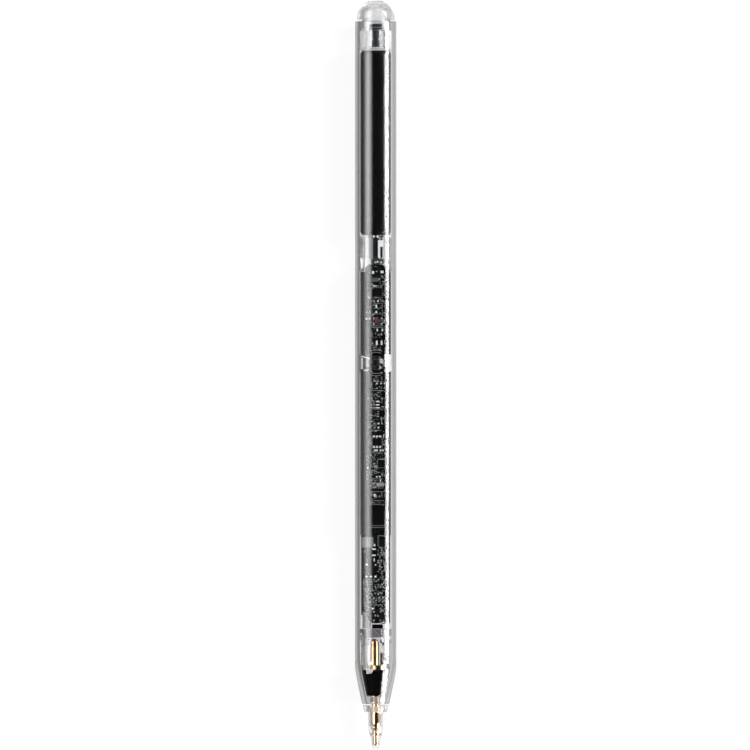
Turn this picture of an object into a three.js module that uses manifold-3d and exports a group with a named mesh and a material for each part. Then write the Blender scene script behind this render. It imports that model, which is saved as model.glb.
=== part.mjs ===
// Stylus pen with a clear barrel, lying on its flat side. Millimetres, +Z up.
// The pen lies along X with its writing point at -X, and its flat side rests on Z = 0.
// Every piece is shaped in the pen's own axes: X across, Y along from the point, Z up from the centre line.

import * as THREE from "three";
import { mergeVertices } from "three/addons/utils/BufferGeometryUtils.js";
import Module from "manifold-3d";

const wasm = await Module();
wasm.setup();

// Fits and running clearances
const fitGap = 0.05; // between pieces that seat on each other
const coreGap = 0.25; // round the cell and the board carrier in the bore
const holderGap = 0.1; // round the clear holders in the bore
const coneGap = 0.15; // round what sits in the bore's taper
const runningGap = 0.06; // round the tip rod in its bushing
const stopGap = 0.05; // left over at the end of each travel
const solderGap = 0.03; // under each chip

// Travels and the nib's thread
const tipTravel = 0.3;
const capTravel = 0.35;
const studEngagement = 3.7;

// Barrel
const barrelRadius = 4.5;
const barrelWall = 0.9;
const flatDepth = 0.35;
const noseLength = 7.35;
const noseRadius = 2.95;
const throatRadius = 1.9;
const throatLength = 0.4;
const boreTaperLength = 8.55;
const rimSetback = 0.2;
const rimRounding = 0.2;

// Nib and its collar
const pointLength = 2.7;
const pointRadius = 1.12;
const pointWaistRadius = 0.82;
const bluntRadius = 0.65;
const bluntLength = 0.16;
const pointSpigotRadius = 0.85;
const pointSpigotLength = 0.7;
const pinRadius = 0.52;
const pinSetback = 0.55;
const nibLength = 5.3;
const nibRadius = 1.65;
const nibFrontRadius = 1.27;
const nibTaperLength = 2.1;
const shankWall = 0.45;
const shankShortfall = 0.1;
const sleeveRadius = 0.95;
const sleeveNoseLength = 1.3;
const sleeveFrontWall = 0.35;
const collarLength = 1.4;
const collarRadius = 2.5;
const collarStep = 0.2;

// Tip rod and what guides it in the nose
const studRadius = 0.5;
const rodRadius = 0.8;
const rodCollarLength = 0.7;
const bushingInset = 0.1;
const bushingLength = 1.6;
const coneLength = 5.6;
const coneBackWall = 1.0;
const tipWire = 0.3;
const tipCurls = 4;
const tipPitch = 0.74;
const springClearance = 0.2;
const flangeLength = 1.05;
const flangeRadius = 1.63;
const flangeTopRadius = 1.5;
const flangeOffset = 0.35;
const rodSpigotRadius = 0.45;
const contactRadius = 0.94;
const contactLength = 5.3;
const contactOffset = -0.25;
const sideWire = 0.22;
const sideCurls = 3;
const sidePitch = 0.72;
const sideSpringRadius = 0.3;
const sideSpringOffset = 1.38;

// Sensor holder, flex and plug
const holderCavityGap = 0.35;
const latchLength = 1.0;
const latchHeight = 1.8;
const latchSetback = 1.5;
const flexLength = 2.0;
const flexThickness = 0.15;
const flexHalfWidth = 1.9;
const flexDrop = 0.9;
const plugLength = 0.9;
const plugWidth = 2.4;
const plugHeight = 0.9;
const plugOffset = 0.4;
const plugCorner = 0.15;

// Circuit board
const boardLength = 78.4;
const boardThickness = 0.8;
const boardTop = 0.3;
const boardSideWall = 1.1; // of the carrier beside the narrow part
const boardEdgeGap = 0.25; // from the wide part's edge to the core's outline
const boardWideLength = 19.3;
const boardCorner = 1.4;
const boardEndChamfer = 0.75;

// Board carrier, magnets and charging coil
const carrierWallHeight = 1.3;
const carrierFloor = 0.85;
const carrierLedge = 0.55;
const carrierFrontInset = 0.2;
const carrierEndInset = 1.6;
const magnetLength = 12;
const magnetCorner = 0.3;
const coilCorner = 1.5;
const frontMagnetAt = 9.2; // middle, behind the board's front edge
const rearMagnetAt = 11.7; // middle, ahead of the board's back edge
const coilAt = 19.4; // middle, behind the board's step
const coilLength = 11;
const coilThickness = 0.4;
const coilBand = 0.9;
const ferriteThickness = 0.5;
const windowMargin = 0.4;

// Retainer collar and screw
const retainerAt = 21.5; // middle, ahead of the board's back edge
const retainerLength = 3.9;
const screwRadius = 0.55;
const screwHeadRadius = 1.55;
const screwHeadHeight = 0.5;
const screwOffset = 0.1;
const screwDepth = 1.2; // below the board
const screwWebLength = 2.6;
const headCover = 0.55; // from the top of the head up to the collar's crown

// Coupler, cell and its leads
const couplerLength = 7.15;
const couplerNesting = 0.9;
const ringThickness = 0.55;
const ringHole = 0.6;
const cellLength = 40.1;
const cellRounding = 0.7;
const padThickness = 0.25;
const padHole = 0.8;
const leadPlateLength = 1.1;
const leadPlateThickness = 0.35;
const leadRadius = 0.24;
const leadSpread = 0.42;
const negativeLeadOffset = 1.25;
const leadPlateLeft = 1.0;
const leadPlateRight = 1.8;
const terminalWidth = 0.9;
const terminalOffset = -1.05;

// Switch, guide sleeve and end cap
const guideLength = 5.85;
const guideFloorLength = 4.05;
const guideBore = 1.7;
const guideWall = 0.35;
const switchBoardRadius = 1.85;
const switchBoardThickness = 0.35;
const switchLength = 1.6;
const switchRadius = 1.08;
const switchTaper = 0.08;
const switchWell = 0.6;
const switchWellGap = 0.15;
const plungerFootRadius = 0.72;
const plungerNeckRadius = 0.95;
const plungerHeadRadius = 1.5;
const plungerHeadLength = 1.25;
const plungerLength = 3.6;
const skirtWall = 0.5;
const capHeight = 4.05;
const capRadius = 4.25;
const capTopRadius = 1.55;
const capCeiling = 1.7;
const capBossRadius = 1.1;
const stripThickness = 0.1;
const stripHalfWidth = 0.9;
const stripSlotDepth = 0.12;

// Facets round a full turn
const coarse = 24;
const fine = 40;

// Radii that follow
const boreRadius = barrelRadius - barrelWall;
const coreRadius = boreRadius - coreGap;
const holderRadius = boreRadius - holderGap;
const axisHeight = barrelRadius - flatDepth;
const boardBottom = boardTop - boardThickness;
const boardHalfWidth = coreRadius - boardSideWall;
const boardWideHalf = coreRadius - boardEdgeGap;
const troughHalf = boardHalfWidth - carrierLedge;
const troughFloor = -(coreRadius - carrierFloor);
const rodBore = rodRadius + runningGap;
const tipSpringRadius = rodRadius + springClearance + tipWire / 2;
const rodCollarRadius = tipSpringRadius + tipWire / 2;
const coneCounterbore = rodCollarRadius + springClearance;
const shellBore = sleeveRadius + fitGap;
const shankRadius = shellBore + shankWall;
const holderCavity = flangeRadius + flangeOffset + holderCavityGap;
const skirtRadius = holderRadius - guideWall - fitGap;

// Stations along the pen, from the writing point
const nibStart = pointLength;
const collarStart = nibStart + nibLength;
const collarEnd = collarStart + collarLength;
const noseStart = collarEnd + tipTravel + stopGap;
const straightStart = noseStart + noseLength;
const bushingStart = noseStart + bushingInset;
const bushingEnd = bushingStart + bushingLength;
const coneStart = bushingEnd + 3 * fitGap;
const coneEnd = coneStart + coneLength;
const flangeStart = coneEnd + 2 * fitGap;
const flangeEnd = flangeStart + flangeLength;
const contactStart = flangeEnd + fitGap;
const contactEnd = contactStart + contactLength;
const flexStart = contactEnd + tipTravel + 2 * stopGap;
const flexEnd = flexStart + flexLength;
const plugStart = flexEnd + fitGap;
const plugEnd = plugStart + plugLength;
const boardStart = plugEnd + 2 * fitGap;
const boardStep = boardStart + boardWideLength;
const boardEnd = boardStart + boardLength;
const coilMiddle = boardStep + coilAt;
const retainerMiddle = boardEnd - retainerAt;
const carrierStart = boardStart + carrierFrontInset;
const carrierEnd = boardEnd - carrierEndInset;
const couplerStart = carrierEnd + 2 * fitGap;
const couplerEnd = couplerStart + couplerLength;
const ringStart = couplerEnd + 2 * fitGap;
const ringEnd = ringStart + ringThickness;
const cellStart = ringEnd + 2 * fitGap;
const cellEnd = cellStart + cellLength;
const padStart = cellEnd + fitGap;
const padEnd = padStart + padThickness;
const guideStart = padEnd + 2 * fitGap;
const guideEnd = guideStart + guideLength;
const guideLedge = guideStart + guideFloorLength;
const switchBoardStart = guideStart + fitGap;
const switchStart = switchBoardStart + switchBoardThickness + fitGap;
const switchEnd = switchStart + switchLength;
const plungerStart = switchEnd - switchWell + capTravel + 2 * stopGap;
const plungerEnd = plungerStart + plungerLength;
const rimStation = guideEnd + rimSetback;
const capStart = rimStation + capTravel + 2 * stopGap;
const capEnd = capStart + capHeight;
const penLength = capEnd;

// The barrel's bore radius at a station: a short throat, the taper and the straight bore.
function boreAt(station) {
  const along = (station - noseStart - throatLength) / boreTaperLength;
  return throatRadius + (boreRadius - throatRadius) * Math.min(1, Math.max(0, along));
}
const boreTaperEnd = noseStart + throatLength + boreTaperLength;

// A solid turned about the pen's centre line from [radius, station] corners that start and end on it.
function turned(corners, sides = coarse) {
  const outline = corners.map(([radius, station]) => new THREE.Vector2(radius, station));
  return new THREE.LatheGeometry(outline, sides);
}

// A ring turned about the centre line from a closed outline, listed the inside first and then back outside.
function turnedRing(corners, sides = coarse) {
  return turned([...corners, corners[0]], sides);
}

// A plain tube between two stations.
function tube(outer, inner, from, to, sides = coarse) {
  return turnedRing([[inner, from], [outer, from], [outer, to], [inner, to]], sides);
}

// A rod on the centre line between two stations.
function rod(radius, from, to, sides = coarse) {
  return turned([[0, from], [radius, from], [radius, to], [0, to]], sides);
}

// An upright pin, its axis along Z.
function uprightPin(radius, across, along, bottom, top, sides = coarse) {
  const pin = new THREE.CylinderGeometry(radius, radius, top - bottom, sides);
  return pin.rotateX(Math.PI / 2).translate(across, along, (bottom + top) / 2);
}

// A box from its low and high corner.
function block([left, near, low], [right, far, high]) {
  const box = new THREE.BoxGeometry(right - left, far - near, high - low);
  return box.translate((left + right) / 2, (near + far) / 2, (low + high) / 2);
}

// A cross-section in [across, height], drawn out along the pen.
function alongPen(shape, from, to) {
  const drawn = new THREE.ExtrudeGeometry(shape, { depth: to - from, bevelEnabled: false, curveSegments: 12 });
  return drawn.rotateX(Math.PI / 2).translate(0, to, 0);
}

// A plan outline in [across, station], raised from bottom to top.
function raised(shape, bottom, top) {
  const plate = new THREE.ExtrudeGeometry(shape, { depth: top - bottom, bevelEnabled: false, curveSegments: 6 });
  return plate.translate(0, 0, bottom);
}

// A side outline in [station, height], drawn across the pen.
function across(shape, left, right) {
  const drawn = new THREE.ExtrudeGeometry(shape, { depth: right - left, bevelEnabled: false });
  const turn = new THREE.Matrix4().makeBasis(
    new THREE.Vector3(0, 1, 0),
    new THREE.Vector3(0, 0, 1),
    new THREE.Vector3(1, 0, 0),
  );
  return drawn.applyMatrix4(turn).translate(left, 0, 0);
}

function outlineOf(points) {
  return new THREE.Shape(points.map(([x, y]) => new THREE.Vector2(x, y)));
}

// A rectangle with rounded corners, centred on a point.
function roundedRectangle(centreX, centreY, width, height, radius) {
  const [x, y] = [centreX - width / 2, centreY - height / 2];
  const shape = new THREE.Shape();
  shape.moveTo(x + radius, y);
  shape.lineTo(x + width - radius, y);
  shape.absarc(x + width - radius, y + radius, radius, -Math.PI / 2, 0);
  shape.lineTo(x + width, y + height - radius);
  shape.absarc(x + width - radius, y + height - radius, radius, 0, Math.PI / 2);
  shape.lineTo(x + radius, y + height);
  shape.absarc(x + radius, y + height - radius, radius, Math.PI / 2, Math.PI);
  shape.lineTo(x, y + radius);
  shape.absarc(x + radius, y + radius, radius, Math.PI, 1.5 * Math.PI);
  return shape;
}

// Joins and cuts
function solidOf(geometry) {
  const plain = geometry.clone();
  plain.deleteAttribute("normal");
  plain.deleteAttribute("uv");
  const merged = mergeVertices(plain, 1e-4);
  return new wasm.Manifold(
    new wasm.Mesh({
      numProp: 3,
      vertProperties: new Float32Array(merged.attributes.position.array),
      triVerts: new Uint32Array(merged.index.array),
    }),
  );
}

function geometryOf(solid) {
  const mesh = solid.getMesh();
  const geometry = new THREE.BufferGeometry();
  geometry.setAttribute("position", new THREE.BufferAttribute(new Float32Array(mesh.vertProperties), 3));
  geometry.setIndex(new THREE.BufferAttribute(new Uint32Array(mesh.triVerts), 1));
  geometry.computeVertexNormals();
  return geometry;
}

function cut(geometry, ...tools) {
  return geometryOf(tools.reduce((left, tool) => left.subtract(solidOf(tool)), solidOf(geometry)));
}

function join(geometry, ...others) {
  return geometryOf(others.reduce((whole, other) => whole.add(solidOf(other)), solidOf(geometry)));
}

// What lies below the flat side, for cutting the flat.
function belowFlat(from, to) {
  const reach = 2 * barrelRadius;
  return block([-reach, from, -axisHeight - reach], [reach, to, -axisHeight]);
}

// The slot for the switch strip in the holders that it passes.
function stripSlot(from, to) {
  const half = stripHalfWidth + stripSlotDepth;
  return block([-half, from, -barrelRadius], [half, to, -(coreRadius - stripSlotDepth)]);
}

// One wound wire: a helix along the pen between two short straight ends, and its least gap to itself.
function woundWire(name, { coilRadius, wire, pitch, curls, offset, start }) {
  const stepsPerCurl = 8;
  const sides = 5;
  const steps = Math.round(curls * stepsPerCurl);
  const rings = [];
  const addRing = (turn, station, slope) => {
    const radial = new THREE.Vector3(Math.cos(turn), 0, Math.sin(turn));
    const around = new THREE.Vector3(-Math.sin(turn), 0, Math.cos(turn));
    const forward = around.clone().multiplyScalar(Math.cos(slope));
    forward.y = Math.sin(slope);
    const side = forward.clone().cross(radial);
    const centre = radial.clone().multiplyScalar(coilRadius);
    centre.x += offset;
    centre.y = station;
    rings.push({ centre, radial, side });
  };
  const climb = Math.atan2(pitch, 2 * Math.PI * coilRadius);
  addRing(0, start, Math.PI / 2);
  addRing(0, start + wire, Math.PI / 2);
  for (let step = 1; step < steps; step += 1) {
    const turn = (2 * Math.PI * step) / stepsPerCurl;
    addRing(turn, start + wire + (pitch * step) / stepsPerCurl, climb);
  }
  const lastTurn = (2 * Math.PI * steps) / stepsPerCurl;
  const lastStation = start + wire + (pitch * steps) / stepsPerCurl;
  addRing(lastTurn, lastStation, Math.PI / 2);
  addRing(lastTurn, lastStation + wire, Math.PI / 2);

  const points = [];
  for (const ring of rings) {
    for (let side = 0; side < sides; side += 1) {
      const turn = (2 * Math.PI * side) / sides;
      const point = ring.centre.clone();
      point.addScaledVector(ring.radial, (wire / 2) * Math.cos(turn));
      point.addScaledVector(ring.side, (wire / 2) * Math.sin(turn));
      points.push(point.x, point.y, point.z);
    }
  }
  const faces = [];
  for (let ring = 0; ring + 1 < rings.length; ring += 1) {
    for (let side = 0; side < sides; side += 1) {
      const next = (side + 1) % sides;
      const [a, b] = [ring * sides + side, ring * sides + next];
      const [c, d] = [a + sides, b + sides];
      faces.push(a, b, c, b, d, c);
    }
  }
  const last = (rings.length - 1) * sides;
  for (let side = 1; side + 1 < sides; side += 1) {
    faces.push(0, side + 1, side);
    faces.push(last, last + side, last + side + 1);
  }
  let leastGap = Infinity;
  for (let i = 0; i < rings.length; i += 1) {
    for (let j = i + stepsPerCurl - 2; j < rings.length; j += 1) {
      leastGap = Math.min(leastGap, rings[i].centre.distanceTo(rings[j].centre) - wire);
    }
  }
  console.log(`${name}: least gap to itself ${leastGap.toFixed(3)} mm`);
  const geometry = new THREE.BufferGeometry();
  geometry.setAttribute("position", new THREE.Float32BufferAttribute(points, 3));
  geometry.setIndex(faces);
  geometry.computeVertexNormals();
  return geometry;
}

// Barrel: one clear moulding with a tapered nose, a tapered bore and a flat side.
function barrel() {
  const body = turnedRing(
    [
      [throatRadius, noseStart],
      [noseRadius, noseStart],
      [barrelRadius, straightStart],
      [barrelRadius, rimStation - rimRounding],
      [barrelRadius - rimRounding, rimStation],
      [boreRadius, rimStation],
      [boreRadius, boreTaperEnd],
      [throatRadius, noseStart + throatLength],
    ],
    fine,
  );
  return cut(body, belowFlat(noseStart, rimStation + rimSetback));
}

// End cap: a clear dome with a flat crown, a skirt in the guide sleeve and a boss over the plunger.
function endCap() {
  const crownShare = Math.sqrt(1 - (capTopRadius / capRadius) ** 2);
  const fullHeight = capHeight / crownShare;
  const domeSteps = 8;
  const dome = [];
  for (let step = 0; step <= domeSteps; step += 1) {
    const rise = (capHeight * step) / domeSteps;
    dome.push([capRadius * Math.sqrt(1 - (rise / fullHeight) ** 2), capStart + rise]);
  }
  const skirtInner = skirtRadius - skirtWall;
  const skirtStart = guideLedge + capTravel + 3 * stopGap;
  const ceiling = capEnd - capCeiling;
  const body = turned(
    [
      [0, plungerEnd + fitGap],
      [capBossRadius, plungerEnd + fitGap],
      [capBossRadius, ceiling],
      [skirtInner - skirtWall, ceiling],
      [skirtInner, ceiling - skirtWall],
      [skirtInner, skirtStart],
      [skirtRadius, skirtStart],
      [skirtRadius, capStart],
      ...dome,
      [0, capEnd],
    ],
    fine,
  );
  return cut(body, belowFlat(capStart - capTravel, capEnd + capTravel));
}

// Guide sleeve: clear, fixed in the barrel's end, with a stepped bore for the switch and the cap's skirt.
function capGuide() {
  const body = turnedRing(
    [
      [switchBoardRadius + fitGap, guideStart],
      [holderRadius, guideStart],
      [holderRadius, guideEnd],
      [holderRadius - guideWall, guideEnd],
      [holderRadius - guideWall, guideLedge],
      [guideBore, guideLedge],
      [guideBore, switchStart],
      [switchBoardRadius + fitGap, switchStart],
    ],
    fine,
  );
  return cut(body, stripSlot(guideStart - padThickness, switchStart));
}

// Switch body: slightly tapered, with a well for the plunger's foot.
function switchBody() {
  const body = turned([
    [0, switchStart],
    [switchRadius, switchStart],
    [switchRadius - switchTaper, switchEnd],
    [0, switchEnd],
  ]);
  return cut(body, rod(plungerFootRadius + switchWellGap, switchEnd - switchWell, switchEnd + switchWell));
}

// Plunger: T-shaped post with a waisted neck and a head in two tiers.
function switchPlunger() {
  const headStart = plungerEnd - plungerHeadLength;
  const groove = headStart + plungerHeadLength / 2;
  return turned([
    [0, plungerStart],
    [plungerFootRadius, plungerStart],
    [plungerFootRadius, switchEnd + capTravel + stopGap],
    [plungerNeckRadius, headStart],
    [plungerHeadRadius, headStart],
    [plungerHeadRadius, groove - fitGap],
    [plungerHeadRadius - fitGap * 3, groove],
    [plungerHeadRadius - fitGap, groove + fitGap],
    [plungerHeadRadius - fitGap, plungerEnd - fitGap],
    [plungerHeadRadius - 3 * fitGap, plungerEnd],
    [0, plungerEnd],
  ]);
}

// Switch strip: a thin curved flex that runs under the cell from the switch to the board.
function switchStrip() {
  const middle = (coreRadius + boreRadius) / 2;
  const [inner, outer] = [middle - stripThickness / 2, middle + stripThickness / 2];
  const half = stripHalfWidth / middle;
  const shape = new THREE.Shape();
  shape.absarc(0, 0, outer, -Math.PI / 2 - half, -Math.PI / 2 + half, false);
  shape.absarc(0, 0, inner, -Math.PI / 2 + half, -Math.PI / 2 - half, true);
  return alongPen(shape, couplerStart + fitGap, switchStart - fitGap);
}

// Cell: wrapped can with rounded ends.
function batteryCell() {
  const corners = [[0, cellStart]];
  const steps = 3;
  for (let step = 0; step <= steps; step += 1) {
    const turn = (Math.PI / 2) * (step / steps);
    const inset = cellRounding * (1 - Math.sin(turn));
    corners.push([coreRadius - inset, cellStart + cellRounding * (1 - Math.cos(turn))]);
  }
  for (let step = steps; step >= 0; step -= 1) {
    const turn = (Math.PI / 2) * (step / steps);
    const inset = cellRounding * (1 - Math.sin(turn));
    corners.push([coreRadius - inset, cellEnd - cellRounding * (1 - Math.cos(turn))]);
  }
  corners.push([0, cellEnd]);
  return turned(corners, fine);
}

// Coupler: clear trough that joins the board's end to the cell, its walls nested round the board's corners.
function cellCoupler() {
  const body = rod(holderRadius, couplerStart, couplerEnd, fine);
  const channelHalf = boardHalfWidth + 2 * fitGap;
  const channel = block(
    [-channelHalf, couplerStart - 1, boardBottom - 2 * fitGap],
    [channelHalf, couplerEnd + 1, barrelRadius],
  );
  const nest = outlineOf([
    [-holderRadius, couplerStart - couplerNesting],
    [holderRadius, couplerStart - couplerNesting],
    [channelHalf - fitGap, couplerStart + couplerNesting],
    [-channelHalf + fitGap, couplerStart + couplerNesting],
  ]);
  return cut(
    body,
    channel,
    raised(nest, boardBottom - 2 * fitGap, barrelRadius),
    stripSlot(couplerStart - 1, couplerEnd + 1),
  );
}

// Front ring of the cell, with the strip's slot at the bottom.
function cellFrontRing() {
  return cut(
    tube(holderRadius, ringHole, ringStart, ringEnd, fine),
    stripSlot(ringStart - 1, ringEnd + 1),
  );
}

// A lead made of one or two round wires lying side by side.
function lead(centres, from, to) {
  const wires = centres.map((centre) => {
    const wire = new THREE.CylinderGeometry(leadRadius, leadRadius, to - from, 12);
    return wire.translate(centre, (from + to) / 2, leadRadius);
  });
  return wires.length === 1 ? wires[0] : join(wires[0], ...wires.slice(1));
}

// Board outline: narrow behind, wide in front, with rounded front corners and chamfered back corners.
function boardOutline() {
  const shape = new THREE.Shape();
  const corner = boardStart + boardCorner;
  shape.moveTo(-boardWideHalf + boardCorner, boardStart);
  shape.lineTo(boardWideHalf - boardCorner, boardStart);
  shape.absarc(boardWideHalf - boardCorner, corner, boardCorner, -Math.PI / 2, 0);
  shape.lineTo(boardWideHalf, boardStep);
  shape.lineTo(boardHalfWidth, boardStep);
  shape.lineTo(boardHalfWidth, boardEnd - boardEndChamfer);
  shape.lineTo(boardHalfWidth - boardEndChamfer, boardEnd);
  shape.lineTo(-boardHalfWidth + boardEndChamfer, boardEnd);
  shape.lineTo(-boardHalfWidth, boardEnd - boardEndChamfer);
  shape.lineTo(-boardHalfWidth, boardStep);
  shape.lineTo(-boardWideHalf, boardStep);
  shape.lineTo(-boardWideHalf, corner);
  shape.absarc(-boardWideHalf + boardCorner, corner, boardCorner, Math.PI, 1.5 * Math.PI);
  return shape;
}

function mainBoard() {
  const hole = uprightPin(screwRadius + 2 * fitGap, screwOffset, retainerMiddle, boardBottom - 1, boardTop + 1);
  return cut(raised(boardOutline(), boardBottom, boardTop), hole);
}

// Cross-section of the carrier: an open trough with ledges for the board, up to a wall height.
function carrierSection(wallHeight, innerHalf) {
  const ledge = boardBottom - fitGap;
  const edge = Math.asin(wallHeight / coreRadius);
  const shape = new THREE.Shape();
  shape.absarc(0, 0, coreRadius, edge, -Math.PI - edge, true);
  if (wallHeight > ledge) {
    shape.lineTo(-innerHalf, wallHeight);
    shape.lineTo(-innerHalf, ledge);
  }
  shape.lineTo(-troughHalf, ledge);
  shape.lineTo(-troughHalf, troughFloor);
  shape.lineTo(troughHalf, troughFloor);
  shape.lineTo(troughHalf, ledge);
  if (wallHeight > ledge) {
    shape.lineTo(innerHalf, ledge);
    shape.lineTo(innerHalf, wallHeight);
  }
  return shape;
}

// Carrier: low under the board's wide part, walled behind it, with a screw web and a window at the coil.
function boardCarrier() {
  const step = boardStep + 2 * fitGap;
  const ledge = boardBottom - fitGap;
  const walled = alongPen(carrierSection(carrierWallHeight, boardHalfWidth + 2 * fitGap), step, carrierEnd);
  const low = alongPen(carrierSection(ledge, troughHalf), carrierStart, step + fitGap);
  const web = block(
    [-troughHalf - fitGap, retainerMiddle - screwWebLength / 2, troughFloor - fitGap],
    [troughHalf + fitGap, retainerMiddle + screwWebLength / 2, ledge],
  );
  const pilot = uprightPin(
    screwRadius + fitGap,
    screwOffset,
    retainerMiddle,
    boardBottom - screwDepth - 2 * fitGap,
    boardTop,
  );
  const window = roundedRectangle(
    0,
    coilMiddle,
    2 * (troughHalf - windowMargin),
    coilLength - 2 * windowMargin,
    windowMargin,
  );
  return cut(join(walled, low, web), pilot, raised(window, -barrelRadius, troughFloor + fitGap));
}

// A magnet in the trough under the board.
function magnet(middle) {
  const half = troughHalf - 2 * fitGap;
  const shape = roundedRectangle(0, middle, 2 * half, magnetLength, magnetCorner);
  return raised(shape, troughFloor + fitGap, boardBottom - 4 * fitGap);
}

// Charging coil: a flat racetrack winding over the carrier's window, with a ferrite sheet on it.
function chargingCoil() {
  const width = 2 * (troughHalf - 2 * fitGap);
  const shape = roundedRectangle(0, coilMiddle, width, coilLength, coilCorner);
  const inner = roundedRectangle(
    0,
    coilMiddle,
    width - 2 * coilBand,
    coilLength - 2 * coilBand,
    coilCorner - coilBand,
  );
  shape.holes.push(new THREE.Path(inner.getPoints(6).reverse()));
  return raised(shape, troughFloor + fitGap, troughFloor + fitGap + coilThickness);
}

function coilFerrite() {
  const width = 2 * (troughHalf - 2 * fitGap);
  const bottom = troughFloor + 2 * fitGap + coilThickness;
  const shape = roundedRectangle(0, coilMiddle, width, coilLength, magnetCorner);
  return raised(shape, bottom, bottom + ferriteThickness);
}

// Retainer collar: clear bridge over the board, resting on the carrier's walls, with a boss for the screw.
function retainerCollar() {
  const [from, to] = [retainerMiddle - retainerLength / 2, retainerMiddle + retainerLength / 2];
  const bottom = carrierWallHeight + fitGap;
  const edge = Math.asin(bottom / holderRadius);
  const shape = new THREE.Shape();
  shape.absarc(0, 0, holderRadius, edge, Math.PI - edge, false);
  const boss = uprightPin(screwHeadRadius, screwOffset, retainerMiddle, boardTop + solderGap, bottom + fitGap);
  const headFloor = holderRadius - headCover - screwHeadHeight - fitGap;
  return cut(
    join(alongPen(shape, from, to), boss),
    uprightPin(screwRadius + 2 * fitGap, screwOffset, retainerMiddle, 0, holderRadius),
    uprightPin(screwHeadRadius + 2 * fitGap, screwOffset, retainerMiddle, headFloor, holderRadius + 1),
  );
}

function retainerScrew() {
  const headTop = holderRadius - headCover;
  const headBottom = headTop - screwHeadHeight;
  return join(
    uprightPin(screwHeadRadius, screwOffset, retainerMiddle, headBottom, headTop),
    uprightPin(screwRadius, screwOffset, retainerMiddle, boardBottom - screwDepth, headBottom + fitGap),
  );
}

// Chips: [name, across, station, width, length, height, colour, roughness, metalness]
const chips = [
  ["charge_chip", -0.05, boardEnd - 3.35, 1.5, 0.9, 0.45, 0x6b6d70, 0.5, 0.1],
  ["power_chip", 0.3, boardEnd - 6.15, 2.2, 1.75, 0.6, 0x17181a, 0.5, 0],
  ["indicator_light", 0.45, boardEnd - 12.25, 1.4, 1.6, 0.5, 0xc06a7c, 0.25, 0],
  ["regulator_chip", 0.3, boardStep + 20.4, 2.0, 1.3, 0.6, 0x1a1b1d, 0.5, 0],
  ["signal_chip", 1.2, boardStep + 15.55, 1.5, 1.5, 0.5, 0x1c1d20, 0.5, 0],
  ["crystal", 1.05, boardStep + 11.1, 1.6, 0.9, 0.45, 0xb8babd, 0.3, 0.9],
  ["screening_can", 0.2, boardStep + 4.5, 3.5, 4.2, 0.95, 0x101113, 0.4, 0.3],
  ["processor_chip", 1.7, boardStep - 1.3, 2.0, 2.1, 0.6, 0x141517, 0.5, 0],
  ["memory_chip", -1.75, boardStep - 1.5, 2.3, 2.3, 0.6, 0x5a5c5f, 0.45, 0],
];

// A chip body with its top edge bevelled.
function chip(centreX, centreY, width, length, height) {
  const bevel = 0.08;
  const corner = 0.06;
  const inner = roundedRectangle(centreX, centreY, width - 2 * bevel, length - 2 * bevel, corner);
  const body = new THREE.ExtrudeGeometry(inner, {
    depth: height - 2 * bevel,
    bevelThickness: bevel,
    bevelSize: bevel,
    bevelSegments: 1,
    curveSegments: 2,
  });
  return body.translate(0, 0, boardTop + solderGap + bevel);
}

// Sensor holder: clear tube that follows the bore's taper, with latch windows at both sides.
function sensorHolder() {
  const from = coneEnd + 3 * fitGap;
  const to = flexEnd;
  const frontRadius = boreAt(from) - coneGap;
  const taperEnd = Math.max(boreTaperEnd, from + fitGap);
  const body = turnedRing(
    [
      [holderCavity, from],
      [frontRadius, from],
      [boreRadius - coneGap, taperEnd],
      [boreRadius - coneGap, to],
      [holderCavity, to],
    ],
    fine,
  );
  const latch = block(
    [-barrelRadius, to - latchSetback - latchLength, -latchHeight / 2],
    [barrelRadius, to - latchSetback, latchHeight / 2],
  );
  return cut(body, latch);
}

// Flex: folded ribbon from the plug down behind the contact tube.
function sensorFlex() {
  const [front, back] = [flexStart, flexEnd];
  const bend = flexLength / 3;
  const shape = outlineOf([
    [front, -flexDrop],
    [front + bend, -flexDrop],
    [back - bend, 0],
    [back, 0],
    [back, flexThickness],
    [back - bend - flexThickness / 2, flexThickness],
    [front + bend - flexThickness / 2, flexThickness - flexDrop],
    [front, flexThickness - flexDrop],
  ]);
  return across(shape, -flexHalfWidth, flexHalfWidth);
}

function boardPlug() {
  const shape = roundedRectangle(plugOffset, (plugStart + plugEnd) / 2, plugWidth, plugLength, plugCorner);
  return raised(shape, boardTop - plugHeight, boardTop);
}

// Contact tube: gold-plated, closed by a dome at its inner end, set off the centre line.
function contactTube() {
  const corners = [[0, contactStart], [contactRadius, contactStart]];
  const steps = 5;
  for (let step = 0; step < steps; step += 1) {
    const turn = (Math.PI / 2) * (step / steps);
    const station = contactEnd - contactRadius * (1 - Math.sin(turn));
    corners.push([contactRadius * Math.cos(turn), station]);
  }
  corners.push([0, contactEnd]);
  return turned(corners).translate(contactOffset, 0, 0);
}

// Contact base: eccentric flange on the rod's spigot, wide enough to carry the tube and the side spring.
function contactBase() {
  const flange = turned([
    [0, flangeStart],
    [flangeRadius, flangeStart],
    [flangeRadius, flangeEnd - (flangeRadius - flangeTopRadius)],
    [flangeTopRadius, flangeEnd],
    [0, flangeEnd],
  ]).translate(flangeOffset, 0, 0);
  return cut(flange, rod(rodSpigotRadius + fitGap, flangeStart - 1, flangeEnd + 1));
}

// Nose cone: black sleeve in the bore's taper, with a counterbore for the spring.
function noseCone() {
  return turnedRing(
    [
      [coneCounterbore, coneStart],
      [boreAt(coneStart) - coneGap, coneStart],
      [boreAt(coneEnd) - coneGap, coneEnd],
      [rodBore, coneEnd],
      [rodBore, coneEnd - coneBackWall],
      [coneCounterbore, coneEnd - coneBackWall],
    ],
    fine,
  );
}

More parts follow.
